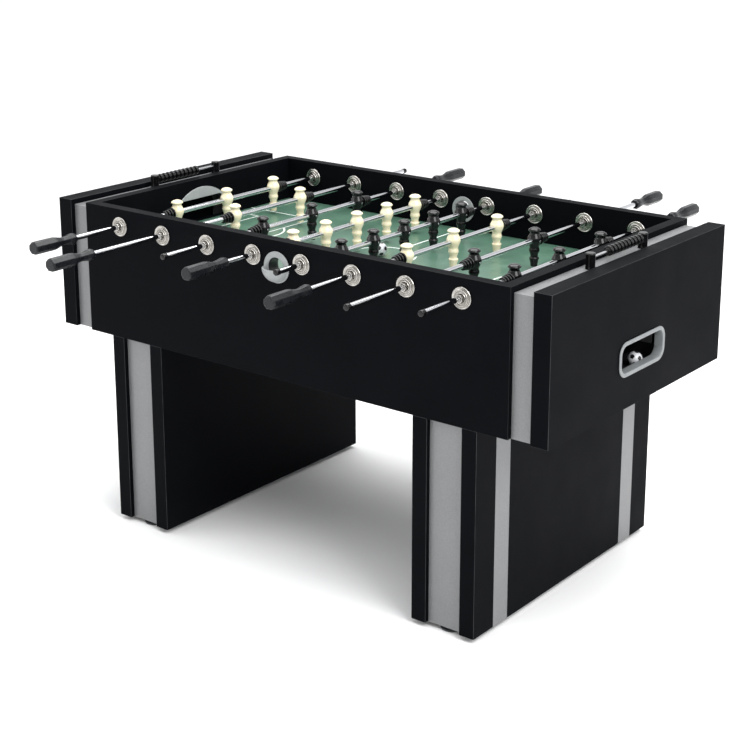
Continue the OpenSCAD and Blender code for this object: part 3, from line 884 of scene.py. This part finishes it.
# %% Profile of a man
JUST_INSIDE = 0.998
man_low, man_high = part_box("players_1")
MAN_RADIUS = (man_high.x - man_low.x) / 2
FOOT_DEPTH = AXIS_Z - man_low.z
HEAD_RISE = man_high.z - AXIS_Z


def man_profile(shares):
    """Heights below the rod are shares of the foot's depth, and above it of the head's rise."""
    radius = MAN_RADIUS * JUST_INSIDE
    return [(x * radius, y * (HEAD_RISE if y > 0 else FOOT_DEPTH)) for x, y in shares]


FOOT = [(0.0, -1.0), (0.42, -1.0), (0.485, -0.985), (0.51, -0.93), (0.60, -0.80), (0.67, -0.72)]
ANKLE_RING = [(0.69, -0.705), (0.69, -0.675), (0.66, -0.66)]
BODY = [(0.565, -0.65), (0.53, -0.615), (0.55, -0.55), (0.645, -0.465), (0.74, -0.40),
        (0.72, -0.335), (0.66, -0.27), (0.685, -0.215), (0.79, -0.145), (0.92, -0.06),
        (0.99, 0.03), (1.0, 0.13), (0.945, 0.255), (0.80, 0.415), (0.69, 0.52), (0.66, 0.59),
        (0.69, 0.655), (0.80, 0.725)]
HEAD = [(0.875, 0.765), (0.885, 0.795), (0.83, 0.85), (0.66, 0.92), (0.38, 0.98), (0.0, 1.0)]


def man_mesh():
    return lathe(round_off(man_profile(FOOT), 3) + man_profile(ANKLE_RING)
                 + round_off(man_profile(BODY), 4) + round_off(man_profile(HEAD), 4), "man")


MAN = man_mesh()
print("one man:", len(MAN.polygons), "faces,", round(FOOT_DEPTH + HEAD_RISE, 4), "m tall")

# %% Men on the rods
def men_row(i):
    """Y of the first man on rod i, and the step to the next one."""
    low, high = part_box(f"players_{i}")
    first = low.y + MAN_RADIUS
    return first, (high.y - low.y - 2 * MAN_RADIUS) / (MEN[i] - 1)


for i in RODS:
    first, step = men_row(i)
    material = CREAM_PLASTIC if i in CREAM_RODS else GLOSS_BLACK
    mesh = even_row(f"men_of_rod_{i}", MAN, MEN[i], (ROD_X[i], first, AXIS_Z), (0.0, step, 0.0),
                    material)
    slot = "cream_plastic" if i in CREAM_RODS else "gloss_black"
    finish_mesh(mesh, f"men_of_rod_{i}", f"playing_rod_{i}", slot, None, [f"players_{i}"],
                sharp=50.0)
    print(f"rod {i}: {MEN[i]} men, {step:.4f} m apart")

# %% [markdown]
# A screw through the back of each man holds it on the rod. Only its small round head with
# a socket shows, sunk a little into the chest. Cream men play towards the right, so their
# backs face left, and the black men's backs face right.

# %% Fixing screws
SCREW_RADIUS = 0.0028
SCREW_PROUD = 0.0008
SCREW_SUNK = 0.003
SCREW_RIM = 0.0004
CHEST_FLAT = 0.985


def screw_mesh():
    r = SCREW_RADIUS
    return lathe([(0, -SCREW_SUNK), (r, -SCREW_SUNK), (r, SCREW_RIM), (0.85 * r, SCREW_PROUD),
                  (0.5 * r, SCREW_PROUD), (0.48 * r, 0.0), (0, 0.0)], "screw", 24)


SCREW = screw_mesh()
for i in RODS:
    first, step = men_row(i)
    back = -1 if i in CREAM_RODS else 1
    place = (ROD_X[i] + back * (MAN_RADIUS * CHEST_FLAT - SCREW_RIM), first, AXIS_Z)
    mesh = even_row(f"screws_of_rod_{i}", SCREW, MEN[i], place, (0.0, step, 0.0), ZINC,
                    (0.0, back * math.pi / 2, 0.0))
    finish_mesh(mesh, f"fixing_screws_{i}", f"playing_rod_{i}", "zinc")
print("one screw:", len(SCREW.polygons), "faces")

# %% [markdown]
# ## Rubber bumpers
#
# A bumper softens the stop where the outermost man would strike the wall. It is a short
# bellows of four rings, smaller away from the man. Each ring's section is a half round,
# joined by narrow grooves.

# %% Bumpers
BUMPER_RINGS = 4
BUMPER_GAP = 0.0005
BUMPER_TAPER = 0.085
BUMPER_ROOM = 0.00005
RING_SHARE = 0.22
RING_STEPS = 6
GROOVE_DEPTH = 0.0058
GROOVE_WALL = 0.0006
TIP_ROUND = 0.0008


def bumper_mesh(radius, length):
    """Bumper on Z with its wide end at z = 0."""
    bore = ROD_RADIUS + BUMPER_ROOM
    pitch = length / (BUMPER_RINGS - 0.3)
    half = pitch * RING_SHARE
    points = [(bore, 0.0)]
    for k in range(BUMPER_RINGS):
        outer = radius * (1 - BUMPER_TAPER * k)
        base = k * pitch
        groove = max(outer - GROOVE_DEPTH, bore + GROOVE_WALL)
        points.append((groove, base + 0.0001))
        for step in range(RING_STEPS + 1):
            a = math.pi * (step / RING_STEPS - 0.5)
            points.append((outer - half + half * math.cos(a), base + half + half * math.sin(a)))
        points.append((groove, base + 2 * half + 0.0002))
    tip = points[-1][0]
    points += [(tip, length - TIP_ROUND), (tip - TIP_ROUND, length), (bore, length)]
    return lathe(points, "bumper", loop=True)


for i in RODS:
    low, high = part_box(f"bumpers_{i}")
    radius = (high.x - low.x) / 2 * JUST_INSIDE
    length = high.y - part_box(f"players_{i}")[1].y - BUMPER_GAP
    pair = []
    for side, turn, end in ((1, LAY_ALONG_Y, high.y), (-1, LAY_AGAINST_Y, low.y)):
        mesh = bumper_mesh(radius, length)
        mesh.transform(Matrix.Translation((ROD_X[i], end - side * length, AXIS_Z)) @ turn)
        pair.append(mesh)
    name = f"bumper_pair_{i}"
    finish_mesh(join_meshes(pair, name), name, f"slider_{i}", "black_rubber", BLACK_RUBBER,
                [f"bumpers_{i}"], sharp=60.0)
print("bumper radius", round(radius, 4), "length", round(length, 4))

# %% [markdown]
# ## Grips and end caps
#
# The grip is a long eight-sided bar. Near the rod it narrows to a waist for the thumb and
# flares to a collar. Eight corners are lofted along a profile of radii, and a bevel breaks
# the long edges. The plain end of the rod has a glossy black safety cap.

# %% Grip shape
GRIP_LENGTH = 0.133
GRIP_SIDES = 8
GRIP_ROUND = 0.0008
CAP_LENGTH = 0.014
CAP_WALL = 0.0011
GRIP_PROFILE = [(0.0, 0.62), (0.004, 0.68), (0.03, 0.845), (0.105, 0.85), (0.145, 0.80),
                (0.20, 0.70), (0.25, 0.645), (0.29, 0.63), (0.33, 0.65), (0.39, 0.76), (0.45, 0.90),
                (0.505, 0.975),
                (0.56, 0.995), (0.75, 1.0), (0.955, 1.0), (0.985, 0.95), (1.0, 0.86)]


def grip_mesh(radius):
    """Grip on Z, with its rod end at z = 0."""
    shape = bmesh.new()
    rings = []
    for share, size in GRIP_PROFILE:
        turns = (math.pi * (2 * k + 1) / GRIP_SIDES for k in range(GRIP_SIDES))
        rings.append([shape.verts.new((radius * size * math.cos(a), radius * size * math.sin(a),
                                       share * GRIP_LENGTH)) for a in turns])
    for low, high in zip(rings, rings[1:]):
        for k in range(GRIP_SIDES):
            n = (k + 1) % GRIP_SIDES
            shape.faces.new((low[k], low[n], high[n], high[k]))
    shape.faces.new(list(reversed(rings[0])))
    shape.faces.new(rings[-1])
    bmesh.ops.recalc_face_normals(shape, faces=shape.faces)
    piece = object_from(mesh_from(shape, "grip"), "grip_blank")
    add_bevel(piece, GRIP_ROUND, 1, 30.0)
    mesh = result_mesh(piece)
    bpy.data.objects.remove(piece)
    return mesh


CAP_EDGE = [(0.0, 0.0), (0.90, 0.0), (0.98, 0.04), (1.0, 0.12), (1.0, 0.60)]
CAP_DOME = [(0.99, 0.74), (0.93, 0.88), (0.76, 0.965), (0.40, 0.995), (0.0, 1.0)]


def cap_mesh():
    size = (ROD_RADIUS + CAP_WALL, CAP_LENGTH)
    return lathe(sized(CAP_EDGE, *size) + round_off(sized(CAP_DOME, *size), 4), "cap", 40)


# %% Grips and caps on the rods
for i in RODS:
    low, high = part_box(f"grip_and_cap_{i}")
    side = -1 if i in CREAM_RODS else 1
    grip_radius = (high.x - low.x) / 2 / math.cos(math.pi / GRIP_SIDES)
    turns = {1: LAY_ALONG_Y, -1: LAY_AGAINST_Y}
    grip_start = (high.y - GRIP_LENGTH) if side > 0 else (low.y + GRIP_LENGTH)
    cap_start = (low.y + CAP_LENGTH) if side > 0 else (high.y - CAP_LENGTH)
    grip = grip_mesh(grip_radius)
    grip.transform(Matrix.Translation((ROD_X[i], grip_start, AXIS_Z)) @ turns[side])
    finish_mesh(grip, f"hand_grip_{i}", f"playing_rod_{i}", "grip_black", GRIP_BLACK,
                [f"grip_and_cap_{i}"], sharp=20.0)
    cap = cap_mesh()
    cap.transform(Matrix.Translation((ROD_X[i], cap_start, AXIS_Z)) @ turns[-side])
    finish_mesh(cap, f"end_cap_{i}", f"playing_rod_{i}", "gloss_black", GLOSS_BLACK, sharp=50.0)
print("grip radius over the corners", round(grip_radius, 4))

# %% [markdown]
# ## Bearings
#
# Each rod runs in a plated sleeve that stands out of the board, and a stepped nickel flange
# covers the hole on both faces. The flange has a thin rolled rim, a flat dish, a raised
# ring and a hub. Sixteen sleeves and thirty-two flanges are six even rows.

# %% Flange and sleeve
sleeve_low, sleeve_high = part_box("rod_bearings")
flange_low, flange_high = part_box("bearing_flanges")
SLEEVE_RADIUS = (sleeve_high.z - sleeve_low.z) / 2
FLANGE_RADIUS = (flange_high.z - flange_low.z) / 2
FLANGE_DEPTH = flange_high.y - HALF_WIDTH
SLEEVE_OUT = sleeve_high.y - HALF_WIDTH
SLEEVE_ROOM = 0.0006
SLEEVE_ROUND = 0.0012
FLANGE_ROOM = 0.0001


def flange_mesh():
    hub, rim, t = SLEEVE_RADIUS + FLANGE_ROOM, FLANGE_RADIUS, FLANGE_DEPTH
    wide = rim - hub
    dish = [(hub, 0.0), (rim - 0.0004, 0.0), (rim, 0.10 * t), (rim, 0.30 * t),
            (rim - 0.0006, 0.42 * t),
            (rim - 0.0016, 0.46 * t), (rim - 0.0026, 0.42 * t), (rim - 0.0034, 0.32 * t),
            (hub + 0.66 * wide, 0.28 * t), (hub + 0.60 * wide, 0.34 * t)]
    ring = round_off([(hub + 0.58 * wide, 0.42 * t), (hub + 0.555 * wide, 0.70 * t),
                      (hub + 0.50 * wide, 0.84 * t),
                      (hub + 0.42 * wide, 0.84 * t), (hub + 0.37 * wide, 0.70 * t),
                      (hub + 0.32 * wide, 0.60 * t)], 3)
    boss = [(hub + 0.26 * wide, 0.62 * t), (hub + 0.22 * wide, 0.92 * t), (hub + 0.19 * wide, t),
            (hub + 0.12 * wide, t), (hub + 0.09 * wide, 0.94 * t), (hub + 0.08 * wide, 0.3 * t),
            (hub, 0.3 * t)]
    return lathe(dish + ring + boss, "flange", 56, loop=True)


def sleeve_mesh():
    length = SIDE_THICKNESS + 2 * SLEEVE_OUT
    bore, r, c = ROD_RADIUS + SLEEVE_ROOM, SLEEVE_RADIUS, SLEEVE_ROUND
    return lathe([(bore, 0.0), (r - 2 * c, 0.0), (r - 0.4 * c, 0.4 * c), (r, 1.4 * c),
                  (r, length - 1.4 * c),
                  (r - 0.4 * c, length - 0.4 * c), (r - 2 * c, length), (bore, length)], "sleeve",
                 40, loop=True)


# %% Rows of flanges and sleeves
FLANGE = flange_mesh()
SLEEVE = sleeve_mesh()
along = (ROD_PITCH, 0.0, 0.0)
faces = [(-HALF_WIDTH, math.pi / 2), (-INNER_Y, -math.pi / 2), (INNER_Y, math.pi / 2),
         (HALF_WIDTH, -math.pi / 2)]
rows = [even_row(f"flanges_{k}", FLANGE, len(RODS), (ROD_X[1], y, AXIS_Z), along, NICKEL,
                 (turn, 0.0, 0.0))
        for k, (y, turn) in enumerate(faces)]
finish_mesh(join_meshes(rows, "flanges"), "nickel_flanges", "cabinet", "nickel", NICKEL,
            ["bearing_flanges"], sharp=30.0)
starts = (-HALF_WIDTH - SLEEVE_OUT, INNER_Y - SLEEVE_OUT)
rows = [even_row(f"sleeves_{k}", SLEEVE, len(RODS), (ROD_X[1], y, AXIS_Z), along, NICKEL,
                 (-math.pi / 2, 0.0, 0.0)) for k, y in enumerate(starts)]
finish_mesh(join_meshes(rows, "sleeves"), "bearing_sleeves", "cabinet", "nickel", NICKEL,
            ["rod_bearings"])
print("flange", round(FLANGE_RADIUS * 2000, 1), "mm wide")

# %% [markdown]
# ## Serving rings
#
# A ball enters play through a ring in the middle of each side board. Outside, a half cup
# hangs below the hole for the ball to sit in. The frame's own shape is right here, so a
# merged and bevelled copy with smooth shading is enough. The faces that lie within the
# board's thickness, inside the tube, get the black finish, so the tube is dark inside.

# %% Serving rings
TUBE_MARGIN = 0.001
RING_ROUND = 0.0007
rings = rounded_copy("ball_entry_cups", "serving_rings", RING_ROUND, sharp=40.0)
finish_piece(rings, "cabinet", "grey_plastic", GREY_PLASTIC, ["ball_entry_cups"], sharp=40.0)
rings.data.materials.append(BLACK_PLASTIC)
# Faces inside the tube, within the board's thickness, take the black finish.
for face in rings.data.polygons:
    depth = abs(face.center.y)
    face.material_index = int(INNER_Y + TUBE_MARGIN < depth < HALF_WIDTH - TUBE_MARGIN)
print("serving rings:", len(rings.data.polygons), "faces")

# %% [markdown]
# ## Score counters
#
# Ten glossy beads slide on a thin rod between two round posts. A bead is a disc with a
# rounded rim and a narrow hub on each face, so that the row reads as separate beads.

# %% Beads
BEADS = 10
BEAD_GAP = 0.0002
BEAD_ROOM = 0.0001


HUB_LOW = [(0.46, 0.0), (0.50, 0.03), (0.50, 0.17), (0.54, 0.195)]
BEAD_RIM = [(0.70, 0.20), (0.88, 0.235), (0.98, 0.33), (1.0, 0.50), (0.98, 0.67), (0.88, 0.765),
            (0.70, 0.80)]
HUB_HIGH = [(0.54, 0.805), (0.50, 0.83), (0.50, 0.97), (0.46, 1.0)]


def bead_mesh(radius, length, bore):
    low, rim, high = (sized(part, radius, length) for part in (HUB_LOW, BEAD_RIM, HUB_HIGH))
    return lathe([(bore, 0.0)] + low + round_off(rim, 3) + high + [(bore, length)], "bead", 32,
                 loop=True)


score_low, score_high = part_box("score_rods")
SCORE_RADIUS = (score_high.z - score_low.z) / 2
for end in ("left", "right"):
    low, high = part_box(f"score_beads_{end}")
    length = (high.y - low.y + BEAD_GAP) / BEADS - BEAD_GAP
    bead = bead_mesh((high.z - low.z) / 2 * JUST_INSIDE, length, SCORE_RADIUS + BEAD_ROOM)
    centre = (low + high) / 2
    mesh = even_row(f"beads_{end}", bead, BEADS, (centre.x, low.y, centre.z),
                    (0.0, length + BEAD_GAP, 0.0), GLOSS_BLACK, (-math.pi / 2, 0.0, 0.0))
    finish_mesh(mesh, f"score_beads_row_{end}", f"counter_beads_{end}", "gloss_black", None,
                [f"score_beads_{end}"], sharp=50.0)
    print(end, "beads", round(length * 1000, 2), "mm long")

# %% Posts and rods of the counters
post_low, post_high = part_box("score_posts")
bead_low, bead_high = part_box("score_beads_right")
POST_RADIUS = post_high.x - (bead_low.x + bead_high.x) / 2
POST_HEIGHT = post_high.z - post_low.z


POST_FOOT = [(0.0, 0.0), (1.0, 0.0), (1.0, 0.05), (0.965, 0.075), (0.965, 0.86)]
POST_CROWN = [(1.0, 0.90), (0.975, 0.955), (0.90, 0.99), (0.72, 1.0)]


def post_mesh():
    size = (POST_RADIUS, POST_HEIGHT)
    return lathe(sized(POST_FOOT, *size) + round_off(sized(POST_CROWN, *size), 4)
                 + [(0.0, POST_HEIGHT)], "post")


posts = []
for x in (post_low.x + POST_RADIUS, post_high.x - POST_RADIUS):
    span = post_high.y - post_low.y - 2 * POST_RADIUS
    posts.append(even_row("posts", post_mesh(), 2, (x, post_low.y + POST_RADIUS, post_low.z),
                          (0.0, span, 0.0), GLOSS_BLACK))
finish_mesh(join_meshes(posts, "posts"), "counter_posts", "cabinet", "black_plastic",
            GLOSS_BLACK, ["score_posts"])

bars = []
for x in (score_low.x + SCORE_RADIUS, score_high.x - SCORE_RADIUS):
    mesh = bar(SCORE_RADIUS, score_high.y - score_low.y, 0.0004, "counter_rod", 24)
    start = (x, score_low.y, (score_low.z + score_high.z) / 2)
    mesh.transform(Matrix.Translation(start) @ LAY_ALONG_Y)
    bars.append(mesh)
finish_mesh(join_meshes(bars, "bars"), "counter_rods", "cabinet", "polished_steel",
            POLISHED_STEEL, ["score_rods"])
print("posts", round(POST_HEIGHT * 1000, 1), "mm high")

# %% [markdown]
# ## Balls
#
# A table football copies the panels of a full-size ball: twelve black pentagons and twenty
# white hexagons. Each point of a fine sphere looks for its nearest panel centre. Points
# that are almost as near to a second centre lie on a seam, and sink a little. Faces whose
# nearest centre is a pentagon's get the black finish.

# %% Ball shape
def panel_centres():
    golden = (1 + math.sqrt(5)) / 2
    pentagons = [Vector(p).normalized() for s in (-1, 1) for t in (-golden, golden)
                 for p in ((0, s, t), (s, t, 0), (t, 0, s))]
    hexagons = []
    for a in range(12):
        for b in range(a + 1, 12):
            for c in range(b + 1, 12):
                trio = (pentagons[a], pentagons[b], pentagons[c])
                if min(trio[0].dot(trio[1]), trio[1].dot(trio[2]), trio[0].dot(trio[2])) > 0.4:
                    hexagons.append((trio[0] + trio[1] + trio[2]).normalized())
    return pentagons, hexagons


PENTAGONS, HEXAGONS = panel_centres()
PENTAGON_REACH = 0.36
HEXAGON_REACH = 0.42
SEAM_WIDTH = 0.16
SEAM_DEPTH = 0.018


def ball_mesh(radius, turn, name):
    shape = bmesh.new()
    bmesh.ops.create_icosphere(shape, subdivisions=5, radius=1.0)
    for vert in shape.verts:
        way = vert.co.normalized()
        near = sorted([way.angle(c) / PENTAGON_REACH for c in PENTAGONS]
                      + [way.angle(c) / HEXAGON_REACH for c in HEXAGONS])[:2]
        seam = max(0.0, 1.0 - (near[1] - near[0]) / SEAM_WIDTH)
        vert.co = way * radius * (1.0 - SEAM_DEPTH * seam * seam)
    for face in shape.faces:
        way = face.calc_center_median().normalized()
        pentagon = min(way.angle(c) for c in PENTAGONS) / PENTAGON_REACH
        hexagon = min(way.angle(c) for c in HEXAGONS) / HEXAGON_REACH
        face.material_index = 1 if pentagon < hexagon else 0
    black = sum(face.material_index for face in shape.faces)
    print(name, "black share", round(black / len(shape.faces), 3))
    shape.transform(turn)
    return mesh_from(shape, name)


# %% Balls in place
BALLS = {
    "pitch_ball": ("ball_on_pitch", "ball_on_the_spot", (0.5, 0.35, 0.2)),
    "return_ball": ("ball_in_return", "ball_in_the_tray", (0.15, 0.7, 1.1)),
}
for node, (body, name, turn) in BALLS.items():
    low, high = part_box(node)
    tilt = (Matrix.Rotation(turn[0], 4, "X") @ Matrix.Rotation(turn[1], 4, "Y")
            @ Matrix.Rotation(turn[2], 4, "Z"))
    mesh = ball_mesh((high.z - low.z) / 2, tilt, name)
    mesh.transform(Matrix.Translation((low + high) / 2))
    mesh.materials.append(BALL_WHITE)
    mesh.materials.append(BALL_BLACK)
    finish_mesh(mesh, name, body, "ball_white", None, [node], sharp=80.0)

# %% [markdown]
# ## Levellers
#
# Each leg stands on two round pads with a threaded stem, so the table can be made level.
# The pad has a rounded edge and a hub, and the stem carries a fine thread as rings.

# %% Levellers
STEM_RADIUS = 0.005
THREAD_STEP = 0.0015
THREAD_DEPTH = 0.0005
HUB_GAP = 0.0003


def leveller_mesh(pad_radius, height, hub_top):
    pad = round_off([(pad_radius - 0.0016, 0.0), (pad_radius, 0.0014), (pad_radius, 0.0042),
                     (pad_radius - 0.003, 0.0058), (0.55 * pad_radius, 0.0078),
                     (0.38 * pad_radius, 0.0086)], 4)
    points = [(0.0, 0.0)] + pad + [(0.35 * pad_radius, 0.0088),
                                   (0.34 * pad_radius, hub_top - 0.0004),
                                   (0.33 * pad_radius, hub_top),
                                   (STEM_RADIUS - THREAD_DEPTH, hub_top)]
    turns = int((height - hub_top) / THREAD_STEP) - 1
    for k in range(turns):
        z = hub_top + k * THREAD_STEP
        points += [(STEM_RADIUS - THREAD_DEPTH, z + 0.0003), (STEM_RADIUS, z + 0.0008),
                   (STEM_RADIUS - THREAD_DEPTH, z + 0.0013)]
    return lathe(points + [(STEM_RADIUS - 2 * THREAD_DEPTH, height), (0.0, height)], "leveller", 40)


LEG_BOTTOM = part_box("leg_panels")[0].z
for i in range(1, 5):
    low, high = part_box(f"leveller_{i}")
    mesh = leveller_mesh((high.x - low.x) / 2, high.z - low.z, LEG_BOTTOM - HUB_GAP - low.z)
    mesh.transform(Matrix.Translation(((low.x + high.x) / 2, (low.y + high.y) / 2, low.z)))
    finish_mesh(mesh, f"screw_foot_{i}", f"leveller_foot_{i}", "black_plastic", BLACK_PLASTIC,
                [f"leveller_{i}"], sharp=40.0)
print("legs end", round(LEG_BOTTOM * 1000, 1), "mm above the floor")

# %% [markdown]
# ## Floor, light and background
#
# The picture is a plain product shot. The floor is a wide pale sheet and the background is
# nearly white. A large key lamp stands to the right and lights the end panel, another hangs
# over the pitch, and a dim one fills from the left. A sun as wide as a bright ceiling
# spreads a soft glow over the floor, while the long front stays dark.

# %% Floor
FLOOR_SIZE = 60.0
floor_mesh = bpy.data.meshes.new("studio_floor")
h = FLOOR_SIZE / 2
floor_mesh.from_pydata([(-h, -h, 0), (h, -h, 0), (h, h, 0), (-h, h, 0)], [], [(0, 1, 2, 3)])
floor = object_from(floor_mesh, "studio_floor")
floor_finish, floor_tree, floor_shader, floor_place = new_finish("studio_floor")
floor_clouds = clouded(floor_tree, floor_place, 1.5, (0.94, 0.94, 0.94, 1), (0.925, 0.925, 0.93, 1),
                       0.7, 0.05)
feed(floor_tree, floor_shader, {"Base Color": floor_clouds.outputs["Colour"],
                                "Roughness": floor_clouds.outputs["Roughness"],
                                "Specular IOR Level": 0.2})
floor_mesh.materials.append(floor_finish)


# %% Lamps
def lamp(name, place, aim, size, power):
    data = bpy.data.lights.new(name, "AREA")
    data.shape = "RECTANGLE"
    data.size, data.size_y = size
    data.energy = power
    light = object_from(data, name)
    light.location = place
    light.rotation_euler = (Vector(aim) - Vector(place)).to_track_quat("-Z", "Y").to_euler()


lamp("key_lamp", place=(3.6, -1.0, 3.4), aim=(0.0, 0.0, 0.6), size=(2.6, 2.6), power=150.0)
lamp("top_lamp", place=(-0.4, 0.8, 3.6), aim=(0.0, 0.0, 0.8), size=(3.2, 2.4), power=130.0)
lamp("fill_lamp", place=(-3.4, -2.8, 2.2), aim=(0.0, 0.0, 0.6), size=(2.4, 2.0), power=30.0)

# %% Ceiling glow
GLOW_POWER = 1.3
GLOW_ANGLE = math.radians(50)
GLOW_TILT = (math.radians(12), math.radians(14), 0.0)

glow_data = bpy.data.lights.new("ceiling_glow", "SUN")
glow_data.energy = GLOW_POWER
glow_data.angle = GLOW_ANGLE
object_from(glow_data, "ceiling_glow").rotation_euler = GLOW_TILT

# %% [markdown]
# The background is white near the horizon and dimmer overhead, so that chrome and gloss
# pick up some contrast.

# %% Background
SKY_LOW, SKY_HIGH = 0.32, 0.75
SKY_NEAR = (0.99, 0.995, 1.0, 1)
SKY_OVERHEAD = (0.5, 0.505, 0.51, 1)
SKY_STRENGTH = 1.1

world = bpy.data.worlds.new("studio")
world.use_nodes = True
sky = world.node_tree
aim = wire(sky, "ShaderNodeSeparateXYZ", {0: wire(sky, "ShaderNodeTexCoord").outputs["Generated"]})
height = spread(sky, aim.outputs[2], SKY_LOW, SKY_HIGH, 0.0, 1.0)
feed(sky, sky.nodes["Background"], {"Color": blend_colours(sky, height, SKY_NEAR, SKY_OVERHEAD),
                                    "Strength": SKY_STRENGTH})
bpy.context.scene.world = world
bpy.context.scene.view_settings.view_transform = "Standard"
print("sky strength", SKY_STRENGTH)
